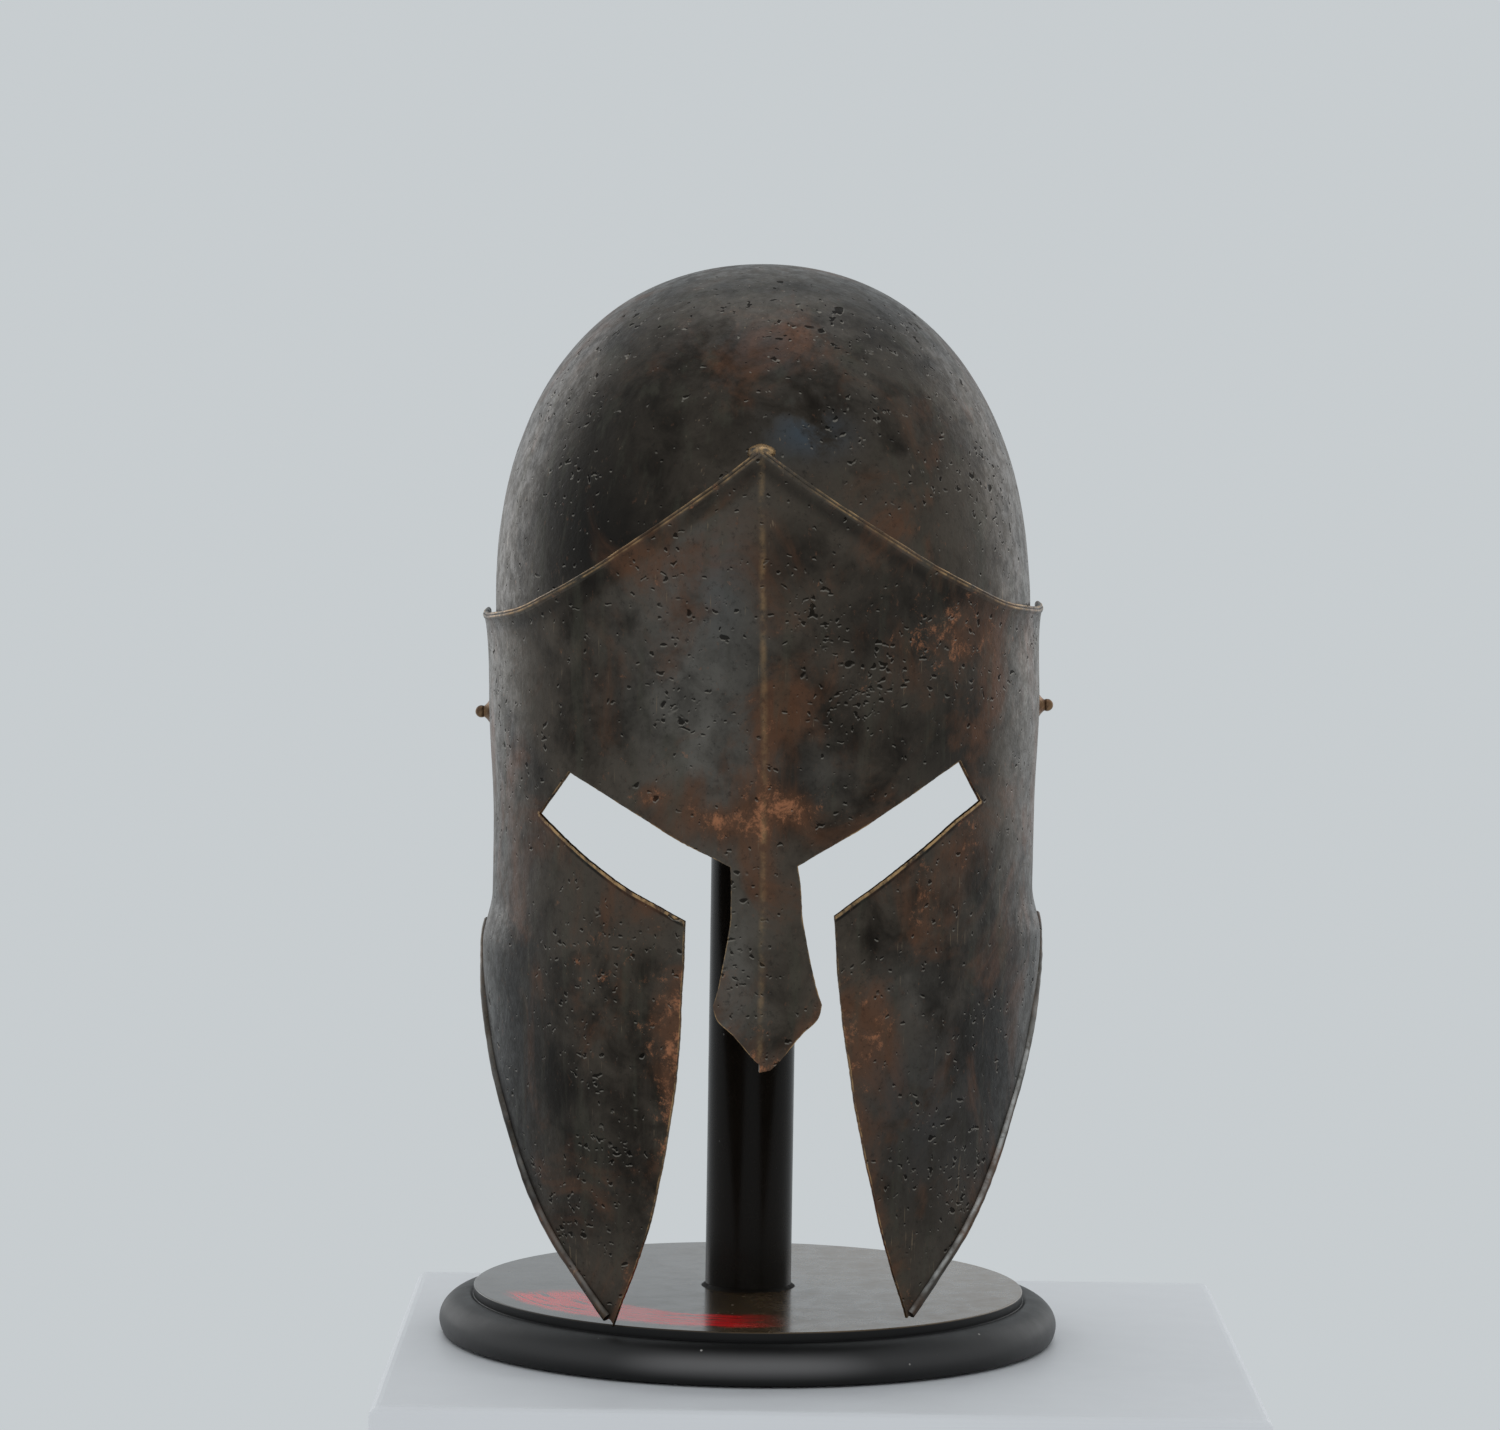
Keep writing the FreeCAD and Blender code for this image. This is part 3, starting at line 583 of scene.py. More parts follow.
plate, plate_faces, cut, upturned, crease, start = [], [], [], [], [], 0
filed_from = upper_count + end_count - 1
for side in (-1, 1):
    patches, edges = plate_half(side)
    cut.append(plate_surface(side, edges[:, 0], edges[:, 1]))
    upturned.append(cut[-1][filed_from:filed_from + lower_count])
    for patch in patches:
        points = plate_surface(side, patch[..., 0], patch[..., 1]).reshape(-1, 3)
        faces = grid_faces(*patch.shape[:2]) + start
        plate.append(points)
        crease.append((patch[..., 0] * crease_run).ravel())
        plate_faces.append(faces if side == 1 else faces[:, ::-1])
        start += len(points)
plate, plate_faces, cut, crease = (np.concatenate(part) for part in (plate, plate_faces, cut, crease))
along = np.linspace(0, 1.08, 160)
brow_line = np.concatenate([plate_surface(side, along, brow_level(along)) for side in (-1, 1)])
to_cut, to_brow, to_upturned = (nearest(plate, line) for line in (cut, brow_line, np.concatenate(upturned)))
outward = (plate - [0, 0.02, 0]) * [1, 1, 0]
outward /= np.linalg.norm(outward, axis=1, keepdims=True)
waves = dented(plate, (0.00022, 0.05, 11)) * smooth(to_brow, 0.002, 0.02)
proud = flare * np.exp(-to_brow / flare_fade) - waves
plate = on_post(plate + outward * proud[:, None])
warm_spots = [
    (-0.0126, 0.2015, 0.0085, 0.0055, 1.1), (-0.036, 0.2095, 0.008, 0.004, 0.8),
    (0.0137, 0.2065, 0.0095, 0.006, 1.1), (0.0, 0.204, 0.014, 0.012, 0.25),
    (0.068, 0.266, 0.024, 0.018, 0.65), (-0.031, 0.123, 0.012, 0.035, 0.55),
    (-0.056, 0.148, 0.014, 0.016, 0.35), (0.044, 0.126, 0.008, 0.018, 0.65),
    (0.078, 0.196, 0.007, 0.012, 0.6), (0.06, 0.172, 0.006, 0.014, 0.6), (0.064, 0.07, 0.03, 0.04, -0.6),
    (-0.062, 0.066, 0.026, 0.035, -0.5), (0.004, 0.15, 0.02, 0.03, -0.3)]
# Painted highlight and painted shade on the plate, as spots: paler where the strength is above nothing,
# darker where it is below.
painted_light_spots = [
    (-0.022, 0.262, 0.024, 0.05, 0.75), (0.04, 0.245, 0.025, 0.03, -0.35), (0.03, 0.24, 0.025, 0.022, 0.25),
    (-0.01, 0.145, 0.012, 0.04, 0.8), (-0.018, 0.225, 0.018, 0.02, 0.35), (0.07, 0.225, 0.018, 0.02, -0.6),
    (0.062, 0.075, 0.03, 0.04, -0.5), (0.09, 0.115, 0.013, 0.05, -0.9), (-0.09, 0.115, 0.014, 0.055, -1.2),
    (-0.06, 0.07, 0.02, 0.03, -0.4), (0.01, 0.295, 0.01, 0.012, -0.6), (0.05, 0.275, 0.02, 0.016, -0.5),
    (0.012, 0.235, 0.01, 0.03, -0.2), (0.02, 0.218, 0.018, 0.012, 0.35), (0.058, 0.14, 0.014, 0.014, 0.35),
    (-0.096, 0.24, 0.01, 0.05, 0.5), (0.096, 0.24, 0.01, 0.05, 0.5)]
blue_spots = [(-0.014, 0.282, 0.01, 0.016, 0.22), (0.06, 0.1, 0.02, 0.03, 0.2)]
pit_spots = [
    (0.018, 0.271, 0.016, 0.024, 0.55), (0.04, 0.285, 0.02, 0.016, 0.35), (0.05, 0.255, 0.022, 0.022, 0.3),
    (0.026, 0.24, 0.014, 0.014, 0.35), (-0.044, 0.287, 0.008, 0.009, 0.6), (-0.01, 0.27, 0.01, 0.01, 0.35),
    (-0.025, 0.2355, 0.014, 0.006, 0.6), (-0.095, 0.25, 0.012, 0.05, 0.35), (0.095, 0.22, 0.014, 0.05, 0.3),
    (-0.06, 0.075, 0.02, 0.03, 0.55), (0.07, 0.08, 0.025, 0.03, 0.55), (0.0, 0.15, 0.012, 0.03, 0.55),
    (-0.07, 0.17, 0.02, 0.02, 0.35)]
warm = places(plate, warm_spots) + 0.5 * np.exp(-(to_cut / 0.006) ** 2) * (plate[:, 2] < 0.15)
warm += 0.5 * np.exp(-(crease / 0.0018) ** 2) * smooth(-plate[:, 2], -0.3, -0.2)
# Painted light and shade: the spots, less a band of painted shade about 4 mm below the brow fold.
pale_and_painted_light = places(plate, painted_light_spots) - 0.6 * np.exp(-((to_brow - 0.004) / 0.003) ** 2)
plate_marks = {"warm": warm, "pale_and_painted_light": pale_and_painted_light, "blue": places(plate, blue_spots),
               "pitting": places(plate, pit_spots) + 0.55,
               "edge": to_cut, "upturned": to_upturned, "crease": crease}


def worn_lines(tree):
    """Bare brass on the filed upper edges of the cheek guards, thin on the other
    sawn edges, and a faint line on the crease, each broken here and there."""
    broken = cloud(node(tree, "TexCoord", {}).outputs["Object"], 60.0, 7.0, 0.7)
    filed = times(band(mark(tree, "upturned"), 0.0013, 0.0009), band(broken, 0.3, 0.6, 0.35, 0.9))
    edge = times(band(mark(tree, "edge"), 0.0005, 0.0001), band(broken, 0.4, 0.6, 0.05, 0.7))
    crest = times(band(mark(tree, "crease"), 0.00075, 0.0), band(broken, 0.35, 0.65, 0.05, 0.26))
    return highest(filed, edge, crest)


def pale_and_painted_light_places(tree):
    """The pale mark of painted light and shade, with a dark line just below the filed upper edges."""
    off_edge = mark(tree, "upturned")
    dark_line = times(band(off_edge, 0.0011, 0.0014), band(off_edge, 0.0025, 0.0018))
    return maths("SUBTRACT", mark(tree, "pale_and_painted_light"), dark_line)


plate_skin = aged_brass("plate_brass", "warm", "blue", pale_and_painted_light_places, worn_lines, "pitting")
edge_skin = aged_brass("sawn_edge_brass", 0.5, 0.0, 0.3, 0.45, 0.1)
face_plate = piece(
    "creased_face_plate", plate, plate_faces, "helmet", ["face_plate"],
    [plate_skin, edge_skin], plate_marks, whole=False, sharp=60)
wall = face_plate.modifiers.new("wall", "SOLIDIFY")
wall.thickness = sheet
wall.offset = -1
wall.use_even_offset = True
wall.material_offset_rim = 1
filed = face_plate.modifiers.new("filed", "BEVEL")
filed.width = filed_edge
filed.segments = 2
filed.limit_method = "ANGLE"
filed.angle_limit = math.radians(50)

# Rolled edges. The sheet is folded over itself along the brow and both rear cheek
# edges, and planished tight; the folds are rubbed down to bare brass on top. Round
# the brow fold, angles run from the way out: the groove, and the two rubbed lines,
# which sit where highlights fall and so are partly painted highlight.
brow_fold, brow_fold_flat, brow_fold_out = 0.0017, 0.7, 0.001
groove_depth, groove_angle, groove_width = 0.3, -0.58, 0.17
brow_points, brow_steps, brow_short = 48, 260, 0.0016
cheek_fold, cheek_points, cheek_steps = 0.0021, 32, 240
# The streak is a painted highlight: its angle and width round the cheek rolls, in a worn silver tint.
highlight_angle, highlight_width = 0.75, 0.5
worn_silver_highlight = (0.56, 0.55, 0.53, 1)


def tube(path, outward, radius, sections):
    """Closed tube along a path. Round the path, at an angle from the outward way,
    its reach is the radius times the section's share there; it ends in points."""
    ahead = np.gradient(path, axis=0)
    ahead /= np.linalg.norm(ahead, axis=1, keepdims=True)
    across = np.cross(ahead, outward)
    across /= np.linalg.norm(across, axis=1, keepdims=True)
    outward = np.cross(across, ahead)
    turn = full_turn(len(sections))
    reach = np.broadcast_to(radius, len(path))[:, None] * sections
    rings = (path[:, None] + outward[:, None] * (reach * np.cos(turn))[..., None]
             + across[:, None] * (reach * np.sin(turn))[..., None])
    caps = [np.repeat(ring.mean(0)[None, None], len(sections), 1) for ring in (rings[0], rings[-1])]
    return np.concatenate([caps[0], rings, caps[1]])


def away_from_post(path):
    """Level directions straight out from the middle of the helmet."""
    out = path * [1, 1, 0]
    return out / np.linalg.norm(out, axis=1, keepdims=True)


def rolled(name, node_name, path, radius, sections, rubbed_and_highlit, pale_and_painted_light, material):
    """Rolled edge with the shallow flats of the planishing hammer. rubbed is how
    bare it is round its section, partly painted highlight, and pale how bright along
    its length, as a paler tone and painted light and shade."""
    rim = tube(path, away_from_post(path), radius, sections)
    middle = np.concatenate([path[:1], path, path[-1:]])[:, None]
    flats = dented(rim, (0.05, 0.024, 21), (0.04, 0.007, 22))
    rim = on_post(middle + (rim - middle) * (1 - flats)[..., None])
    shine = np.clip(0.7 + 0.45 * ripple(rim, 0.03, 23) + 0.35 * ripple(rim, 0.007, 24), 0.1, 1.2)
    pale_and_painted_light = np.concatenate([pale_and_painted_light[:1], pale_and_painted_light, pale_and_painted_light[-1:]]) * shine
    piece(name, rim, grid_faces(*rim.shape[:2], True), "helmet", [node_name], [material],
          {"bare": np.clip(rubbed_and_highlit * shine, 0, 1), "pale_and_painted_light": pale_and_painted_light}, sharp=80)


turn = np.linspace(-math.pi, math.pi, brow_points, endpoint=False)
fold = (1 / np.hypot(np.cos(turn) / brow_fold_flat, np.sin(turn))
        - groove_depth * np.exp(-((turn - groove_angle) / groove_width) ** 2))
# The two rubbed lines are bare brass where highlights fall: partly painted highlight.
rubbed_and_highlit = np.exp(-((turn + 1.15) / 0.26) ** 2) + 0.75 * np.exp(-(turn / 0.3) ** 2)
fold, rubbed_and_highlit = np.roll(fold, brow_points // 2), np.roll(rubbed_and_highlit, brow_points // 2)
along = np.linspace(0, 1.08 - brow_short / rear_run, brow_steps)
halves = [plate_surface(side, along, brow_level(along), sheet / 2) for side in (-1, 1)]
brow_path = np.concatenate([halves[0][:0:-1], halves[1]])
brow_path += away_from_post(brow_path) * brow_fold_out
roll_skin = aged_brass("brow_roll_brass", 0.25, 0.0, "pale_and_painted_light", "bare", 0.05)
rolled("rolled_brow_edge", "brow_edge_roll", brow_path, brow_fold, fold, rubbed_and_highlit,
       np.full((len(brow_path), 1), 0.25), roll_skin)

# On the cheek rolls the pale mark paints a worn silver highlight where each roll faces forward, strongest low
# on the left cheek roll, and painted shade on one flank beside it.
cheek_skin = aged_brass("cheek_roll_brass", 0.15, 0.2, "pale_and_painted_light", "bare", 0.15)
tree, shader = cheek_skin.node_tree, cheek_skin.node_tree.nodes["Principled BSDF"].inputs
broken = cloud(node(tree, "TexCoord", {}).outputs["Object"], 130.0, 5.0, 0.65)
silver_highlight = times(mark(tree, "pale_and_painted_light"), band(broken, 0.36, 0.56, 0.25, 1.0))
join(blend(silver_highlight, shader["Base Color"].links[0].from_socket, worn_silver_highlight), shader["Base Color"])
turn = full_turn(cheek_points)
for side, name, silver in ((-1, "right_cheek_roll", 0.2), (1, "left_cheek_roll", 1.0)):
    up = np.linspace(rear_shares[-1, 1], rear_shares[0, 1], cheek_steps)
    back = np.minimum(rear_edge(up), setback + rear_stop)
    up = up * helmet_height
    path = plate_surface(side, along_for(side, up, back, 1), up, sheet / 2)
    bright = silver * smooth(-path[:, 2], -0.125, -0.075)
    from_front = (turn - highlight_angle * side + math.pi) % (2 * math.pi) - math.pi
    painted_highlight_share = np.exp(-(from_front / highlight_width) ** 2)
    painted_shade_share = 0.9 * smooth(-side * from_front, 0.5, 1.0) * (np.cos(turn) > -0.3)
    rolled("rolled_edge_" + name[:-5], name, path, cheek_fold, np.ones(cheek_points),
           np.full(cheek_points, 0.05), bright[:, None] * painted_highlight_share - painted_shade_share, cheek_skin)

# Apex braze. A lump of brass that holds the top of the crease to the bowl, run on
# hot and left as it set.
lump_wide, lump_deep, lump_high, lump_back = 0.0052, 0.0063, 0.0032, 0.0047
lump_rows, lump_columns = 26, 40
down = np.linspace(0, math.pi, lump_rows)[:, None]
turn = full_turn(lump_columns)
lump = np.stack([lump_wide * np.sin(down) * np.cos(turn), lump_deep * np.sin(down) * np.sin(turn),
                 lump_high * np.cos(down) + 0 * turn], -1)
lump *= 1 - dented(lump, (0.05, 0.006, 31))[..., None]
lump = on_post(lump + plate_surface(1, 0.0, brow_level(0.0)) + [0, lump_back, 0])
braze_skin = aged_brass("braze_brass", 0.0, 0.0, 0.3, 1.0, 0.05)
piece("apex_braze_lump", lump, grid_faces(lump_rows, lump_columns, True), "helmet",
      ["apex_braze"], [braze_skin])

# Side studs. A ball-headed brass rivet through a raised cone on each temple,
# peened over a washer inside the bowl. Outlines are distances from the middle
# of the helmet with the radii there.
stud_back, stud_level, stud_columns = 0.01, 0.2135, 36
shank_radius, ball_radius, ball_out = 0.0015, 0.0023, 0.10537
cone_foot, cone_height, cone_radius, cone_taper = 0.1017, 0.003, 0.0054, 0.0034
peened_end = [(0.09567, 0), (0.09567, 0.0016), (0.0962, 0.0023), (0.09687, 0.0026), (0.09687, shank_radius)]
washer = [(0.0969, shank_radius), (0.0969, 0.0042), (0.0971, 0.0045), (0.098, 0.0045), (0.098, shank_radius)]


def studs(name, node_name, outline, material):
    """An outline turned about the stud's level axis, for both sides."""
    outline = np.asarray(outline)
    out, reach = outline[:, 0, None], outline[:, 1, None]
    turn = full_turn(stud_columns)
    back, up = stud_back + reach * np.cos(turn), stud_level + reach * np.sin(turn)
    both = on_post(np.concatenate([np.stack([side * out + 0 * turn, back, up], -1) for side in (-1, 1)]))
    faces = grid_faces(len(outline), stud_columns, True)
    piece(name, both, np.concatenate([faces, faces + len(outline) * stud_columns]), "helmet",
          [node_name], [material])


stud_skin = aged_brass("stud_brass", 0.5, 0.0, 0.2, 0.25, 0.1)
neck = np.linspace(math.asin(shank_radius / ball_radius), math.pi, 20)
ball = np.stack([ball_out - ball_radius * np.cos(neck), ball_radius * np.sin(neck)], -1)
studs("ball_studs", "side_studs", np.concatenate([peened_end, ball]), stud_skin)
up = np.linspace(0, 1, 12)
cone = np.stack([cone_foot + cone_height * up, cone_radius - cone_taper * (1 - (1 - up) ** 1.6)], -1)
studs("stud_cones", "stud_bosses", np.concatenate(
    [[(cone_foot, shank_radius)], cone, [(cone_foot + cone_height, shank_radius)]]), stud_skin)
studs("stud_washers", "stud_burrs", washer, stud_skin)

# Stand. A turned wooden disc with a bullnose rim, and a plain turned post glued
# and screwed into it, both sprayed gloss black and by now dusty and rubbed. A red
# brush stroke runs round the front left of the disc. A grey band round the front
# of the rim is a painted highlight.
felt_top, disc_radius, disc_top = 0.001, 0.1023, 0.0182
foot_points = np.array([(0.1136, felt_top), (0.1149, 0.0032), (0.115, 0.005667)])
nose_middle, nose_reach, nose_rise = (0.1039, 0.005667), 0.0111, 0.009333
cove, base_ease = [(0.1036, 0.0149), (disc_radius, 0.0143)], 0.0006
post_radius, post_top, post_ease = 0.016, 0.3802, 0.0004
stroke_radius, stroke_edges = 0.079, (0.0155, 0.011)
lacquer_black, dust_and_reflection_brown = (0.005, 0.0048, 0.0047, 1), (0.135, 0.086, 0.04, 1)
speck_grey, painted_sheen_grey = (0.34, 0.33, 0.31, 1), (0.11, 0.108, 0.108, 1)
stroke_red = (0.7, 0.01, 0.014, 1)
lacquer, given, result = effect("black_lacquer", {"Place": "Vector", "Haze": "Float"}, surface)
place = given["Place"]
film = cloud(place, 75.0, 9.0, 0.75, 0.2)
dust = node(lacquer, "TexVoronoi", {"Vector": place, "Scale": 190.0}).outputs
chosen = node(lacquer, "SeparateColor", {"Color": dust["Color"]}).outputs[0]
speck = times(band(dust["Distance"], 0.11, 0.05), band(chosen, 0.86, 0.9))
# The haze is a brown dusty film; on the disc its rise to the right is a painted reflection.
haze = times(given["Haze"], band(film, 0.25, 0.75, 0.55, 1.0))
join(blend(speck, blend(haze, lacquer_black, dust_and_reflection_brown), speck_grey), result["Color"])
join(plus(band(film, 0.3, 0.7, 0.2, 0.28), times(haze, 0.25), times(speck, 0.4)), result["Roughness"])
join(plus(times(cloud(place, 260.0, 2.0, 0.5), 0.4), speck), result["Height"])


def leaning_arc(first, middle, last, count):
    """Part of a parabola from first to last that leans towards the middle."""
    share = np.linspace(0, 1, count)[:, None]
    return first * (1 - share) ** 2 + middle * 2 * share * (1 - share) + last * share ** 2


def round_corners(points, radius):
    """Profile whose corners become small arcs, each with a row on either side
    that keeps the faces beyond it flat."""
    points = np.asarray(points, float)
    rows = [points[:1]]
    for before, corner, after in zip(points, points[1:], points[2:]):
        ways = [(other - corner) / np.linalg.norm(other - corner) for other in (before, after)]
        reach = [min(radius, np.linalg.norm(other - corner) * 0.4) for other in (before, after)]
        arc = leaning_arc(corner + ways[0] * reach[0], corner, corner + ways[1] * reach[1], 6)
        rows += [[corner + ways[0] * reach[0] * 1.15], arc, [corner + ways[1] * reach[1] * 1.15]]
    return np.concatenate(rows + [points[-1:]])


def turned(name, profile, body, node_name, material, columns, sharp=40):
    """Piece whose profile of radii and levels is turned once about the post's axis."""
    turn = full_turn(columns)
    reach, levels = profile[:, 0, None], profile[:, 1, None]
    points = np.stack([reach * np.cos(turn), reach * np.sin(turn), levels + 0 * turn], -1)
    piece(name, points, grid_faces(*points.shape[:2], True), body, [node_name], [material], sharp=sharp)


def black(name, haze_of, gloss):
    """Gloss black finish; haze_of gives the haze from the place on the piece."""
    material, tree, shader, place = finish(name)
    film_on = use(lacquer, {"Place": place, "Haze": haze_of(place)})
    join(film_on["Color"], shader["Base Color"])
    join(film_on["Roughness"], shader["Roughness"])
    raise_relief(shader, film_on["Height"], 0.00005)
    shader["Specular IOR Level"].default_value = gloss
    return material, tree, shader, place, film_on


def disc_haze_and_reflection(place):
    """Dusty haze on the flat of the disc alone, with more of it towards the right as a painted reflection."""
    x, y, z = node(place.id_data, "SeparateXYZ", {0: place}).outputs
    return times(band(x, -0.06, 0.06, 0.18, 1.0), band(z, 0.0176, 0.0181))


base_skin, tree, shader, place, film_on = black("base_lacquer", disc_haze_and_reflection, 0.28)
x, y, z = node(tree, "SeparateXYZ", {0: place}).outputs
on_disc = band(z, 0.0176, 0.0181)
# A painted highlight: a grey band round the rim, from 1.5 to 14 mm up, strongest at the front and weaker away
# from it.
painted_front_sheen = times(band(z, 0.0015, 0.008), band(z, 0.014, 0.0085), band(y, -0.114, -0.103, 1.0, 0.25))
join(plus(film_on["Roughness"], band(on_disc, 0.0, 1.0, 0.2, -0.12)), shader["Roughness"])
out = maths("SQRT", plus(times(x, x), times(y, y)))
angle = maths("ARCTAN2", y, x)
swept = node(tree, "CombineXYZ", {0: times(out, 420.0), 1: times(angle, 3.0)}).outputs[0]
bristles = cloud(swept, 1.0, 5.0, 0.7)
wobble = times(plus(cloud(place, 30.0, 3.0), -0.5), 0.01)
off_middle = maths("ABSOLUTE", plus(out, wobble, -stroke_radius))
stroke = times(band(off_middle, *stroke_edges), band(angle, -2.95, -2.75), band(angle, -1.35, -1.75),
               band(bristles, 0.4, 0.47), band(z, 0.0176, 0.018))
polish = plus(band(x, -0.05, 0.05, 0.1, 0.48), band(y, -0.08, 0.05, 0.0, 0.12))
join(times(on_disc, polish, band(stroke, 0.0, 1.0, 1.0, 0.1)), shader["Coat Weight"])
shader["Coat Roughness"].default_value = 0.14
join(blend(stroke, blend(painted_front_sheen, film_on["Color"], painted_sheen_grey), stroke_red), shader["Base Color"])
foot = leaning_arc(*foot_points, 10)
arc = np.linspace(0, math.pi / 2, 30)[1:]
nose = np.stack([nose_middle[0] + nose_reach * np.cos(arc), nose_middle[1] + nose_rise * np.sin(arc)], -1)
base_profile = np.concatenate([
    [(0, felt_top), (0.112, felt_top)], foot, nose,
    round_corners(cove + [(disc_radius, disc_top), (0, disc_top)], base_ease)])
turned("turned_base", base_profile, "stand", "stand_base", base_skin, 256, sharp=50)
post_skin = black("post_lacquer", lambda place: 0.06, 0.12)[0]
post_profile = round_corners(
    [(0, disc_top), (post_radius, disc_top), (post_radius, post_top), (0, post_top)], post_ease)
turned("turned_post", post_profile, "stand", "stand_post", post_skin, 128)

# Support knob. A turned mushroom head of oiled beech on a peg, under a cap of
# pressed wool felt that is glued on and cut short of the rim.
knob_radius, peg_radius, felt_radius, knob_columns = 0.029, 0.006, 0.02494, 96
dome_radius, knob_top, cap_top = 0.06, 0.3953, 0.3968
peg_foot, knob_foot, knob_waist, knob_shoulder = 0.3543, 0.3803, 0.3838, 0.3872
beech_dark, beech_light, fleck_brown = (0.36, 0.19, 0.085, 1), (0.47, 0.27, 0.13, 1), (0.2, 0.095, 0.04, 1)
knob_skin, tree, shader, place = finish("oiled_beech")
along_grain = turned_place(place, (0.1, 0.2, 0), (1, 0.25, 1))
rings = node(tree, "TexWave", {
    "Vector": along_grain, "Scale": 90.0, "Distortion": 3.0, "Detail": 3.0}).outputs["Fac"]
flecks = cloud(turned_place(place, (0, 0, 0), (1, 0.08, 1)), 900.0, 3.0)
grain = blend(rings, beech_dark, beech_light)
join(blend(band(flecks, 0.6, 0.7, 0.0, 0.5), grain, fleck_brown), shader["Base Color"])
join(band(rings, 0.0, 1.0, 0.42, 0.55), shader["Roughness"])
raise_relief(shader, flecks, 0.0001)


def dome(reach, top):
    """Rows of a domed top, part of a sphere: radius and level at each reach."""
    return np.stack([reach, top - dome_radius + np.sqrt(dome_radius ** 2 - reach ** 2)], -1)


reach = np.linspace(knob_radius - 0.0001, 0, 20)
stem = [(0, peg_foot), (peg_radius, peg_foot), (peg_radius, knob_foot), (post_radius, knob_foot),
        (knob_radius, knob_waist), (knob_radius, knob_shoulder)]
turned("turned_knob", np.concatenate([round_corners(stem, base_ease), dome(reach, knob_top)]),
       "knob", "support_knob", knob_skin, knob_columns)
felt_dark, felt_light = (0.01, 0.01, 0.011, 1), (0.045, 0.044, 0.043, 1)
felt_skin, tree, shader, place = finish("black_felt")
fibres = highest(*[cloud(turned_place(place, turn, (1, 0.12, 1)), 2600.0, 2.0)
                   for turn in ((0, 0, 0.3), (0, 0, 1.4), (0.2, 0, 2.4))])
lint = cloud(place, 180.0, 4.0)
fuzz = plus(times(fibres, 0.7), times(lint, 0.3))
join(blend(band(fuzz, 0.45, 0.7), felt_dark, felt_light), shader["Base Color"])
join(band(lint, 0.3, 0.7, 0.9, 1.0), shader["Roughness"])
raise_relief(shader, fuzz, 0.0004)
reach = np.linspace(felt_radius, 0, 20)
turned("felt_cap", np.concatenate([dome(reach[::-1], knob_top), dome(reach, cap_top)]), "knob",
       "knob_felt", felt_skin, knob_columns)

# Felt foot, zinc-plated screw and washer, and the glue line round the post. They
# keep the shapes that the frame has, and take a material each.
steel_skin, tree, shader, place = finish("zinc_steel", 1.0)
spangle = node(tree, "TexVoronoi", {"Vector": place, "Scale": 700.0}).outputs["Distance"]
join(blend(spangle, (0.5, 0.5, 0.49, 1), (0.64, 0.64, 0.62, 1)), shader["Base Color"])
join(band(cloud(place, 300.0), 0.3, 0.7, 0.28, 0.46), shader["Roughness"])
glue_skin, tree, shader, place = finish("glue_line")
shader["Specular IOR Level"].default_value = 0.08
creep = cloud(place, 350.0, 5.0)
join(blend(creep, (0.004, 0.0035, 0.003, 1), (0.018, 0.015, 0.012, 1)), shader["Base Color"])
join(band(creep, 0.3, 0.7, 0.5, 0.75), shader["Roughness"])
raise_relief(shader, creep, 0.0003)
for name, material in (("base_felt", felt_skin), ("post_screw", steel_skin), ("screw_washer", steel_skin),
                       ("glue_bead", glue_skin)):
    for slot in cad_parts[name].material_slots:
        slot.material = material

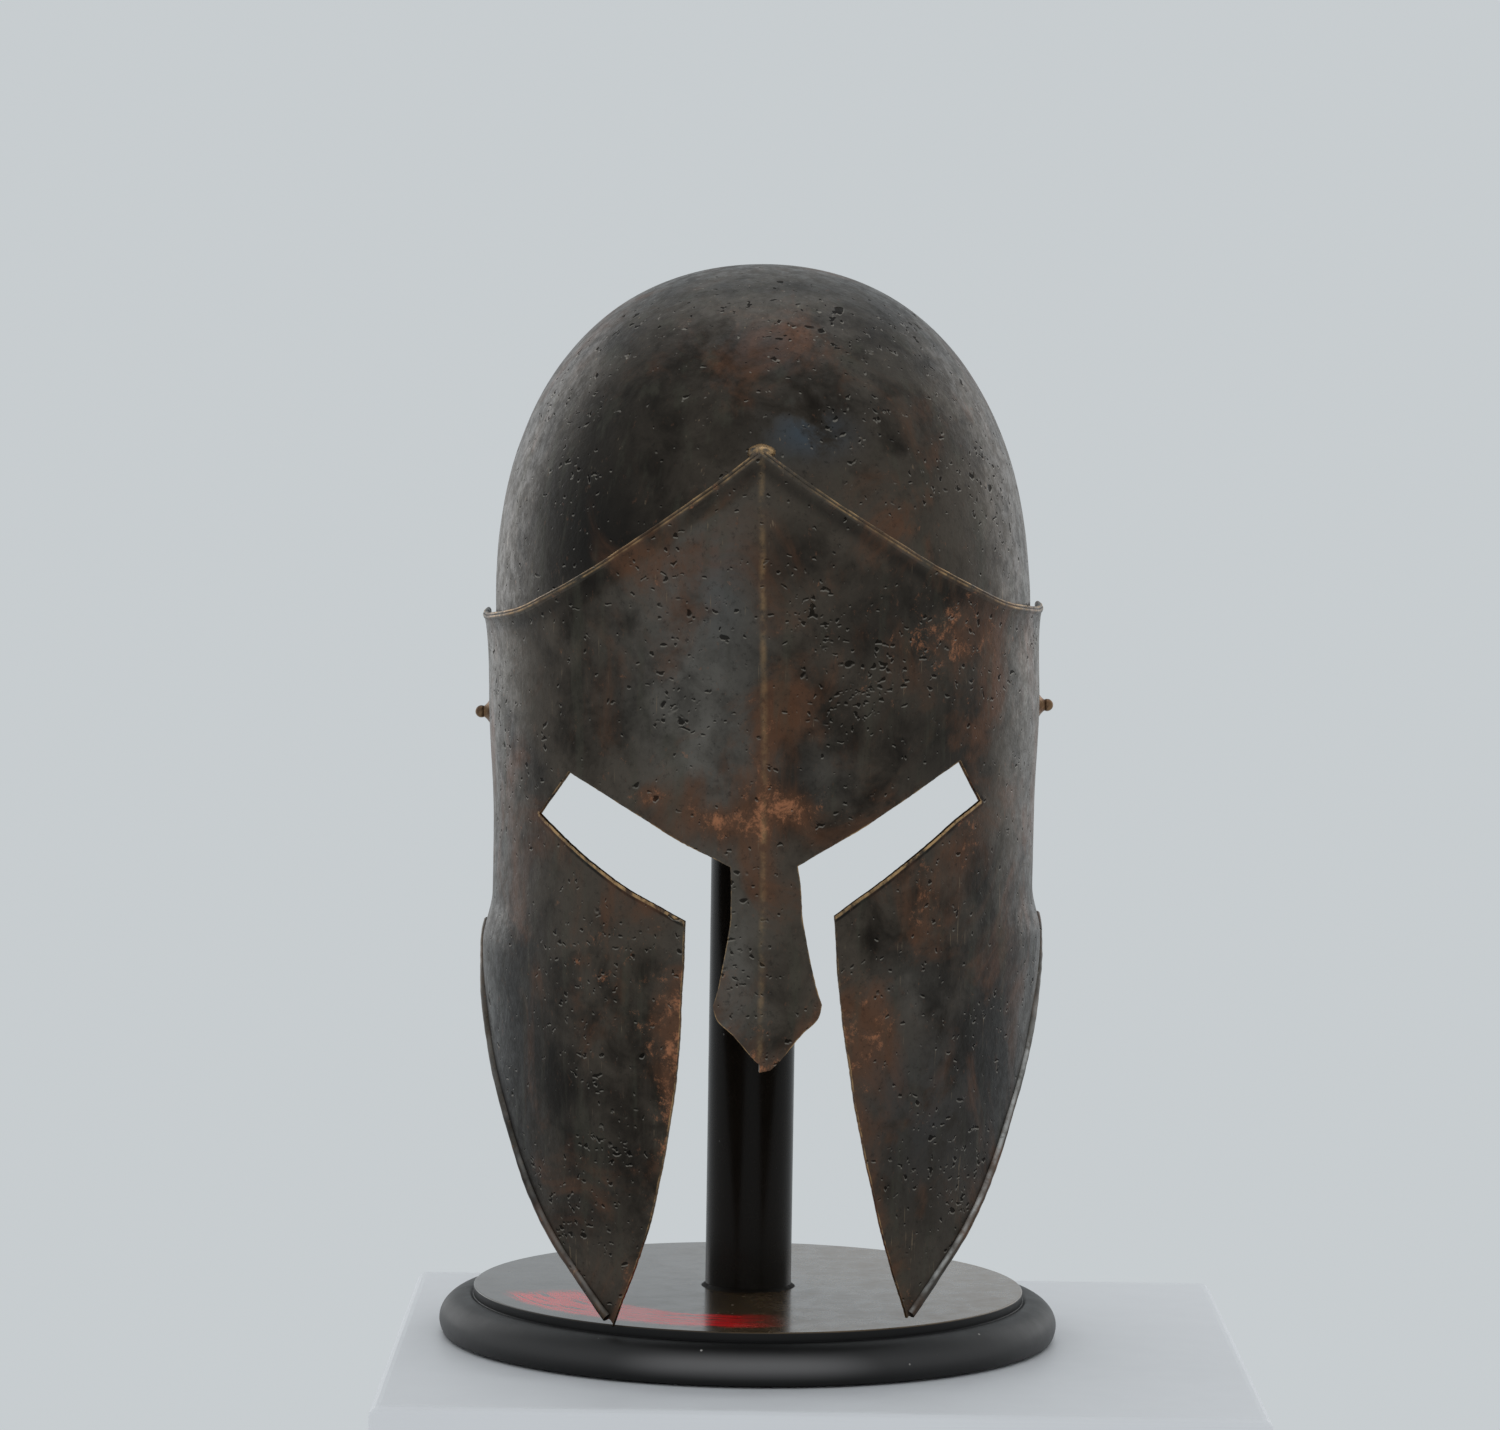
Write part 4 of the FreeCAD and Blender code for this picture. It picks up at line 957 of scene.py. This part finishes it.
# Plinth. The painted board box that the stand was shown on, with eased edges, in
# a pale grey emulsion.
plinth_low, plinth_high = np.array([-0.131, -0.158, -0.5]), np.array([0.183, 0.133, 0.0])
plinth_skin, tree, shader, place = finish("plinth_paint")
join(blend(cloud(place, 9.0, 5.0), (0.6, 0.62, 0.64, 1), (0.64, 0.66, 0.68, 1)), shader["Base Color"])
join(band(cloud(place, 60.0), 0.3, 0.7, 0.42, 0.5), shader["Roughness"])
raise_relief(shader, cloud(place, 500.0, 3.0), 0.00005)
corners = plinth_low + np.indices((2, 2, 2)).reshape(3, -1).T * (plinth_high - plinth_low)
mesh = bpy.data.meshes.new("plinth")
mesh.from_pydata(corners.tolist(), [], [
    (0, 1, 3, 2), (4, 6, 7, 5), (0, 4, 5, 1), (2, 3, 7, 6), (0, 2, 6, 4), (1, 5, 7, 3)])
mesh.materials.append(plinth_skin)
plinth = bpy.data.objects.new("plinth", mesh)
bpy.context.collection.objects.link(plinth)
eased_edge = plinth.modifiers.new("eased_edge", "BEVEL")
eased_edge.width = 0.004
eased_edge.segments = 4

# Light. Two large soft panels to the left and right, a metre behind the helmet,
# one overhead, and the pale room itself, which mirrors in lacquer and brass.
helmet_middle = Vector((0, 0, 0.22))
wall_light, wall_seen = (0.84, 0.86, 0.88, 1), (0.575, 0.61, 0.63, 1)


def panel(name, place, size, power):
    """Soft panel that faces the helmet."""
    light = bpy.data.lights.new(name, "AREA")
    light.shape = "RECTANGLE"
    light.size, light.size_y = size
    light.energy = power
    obj = bpy.data.objects.new(name, light)
    bpy.context.collection.objects.link(obj)
    away = Vector(place) - helmet_middle
    obj.matrix_world = Matrix.Translation(place) @ away.to_track_quat("Z", "Y").to_matrix().to_4x4()
    obj.visible_camera = False


panel("left_panel", (-0.9, 1.1, 0.56), (0.7, 0.95), 2.15)
panel("right_panel", (0.93, 1.02, 0.56), (0.8, 0.95), 1.75)
panel("ceiling_panel", (0, 0.45, 1.9), (1.6, 1.0), 3.2)
room = bpy.data.worlds.new("pale_room")
bpy.context.scene.world = room
room.use_nodes = True
tree = room.node_tree
way = node(tree, "LightPath", {}).outputs
seen = highest(way["Is Camera Ray"], way["Is Glossy Ray"])
join(blend(seen, wall_light, wall_seen), tree.nodes["Background"].inputs["Color"])
bpy.context.scene.view_settings.view_transform = "Standard"
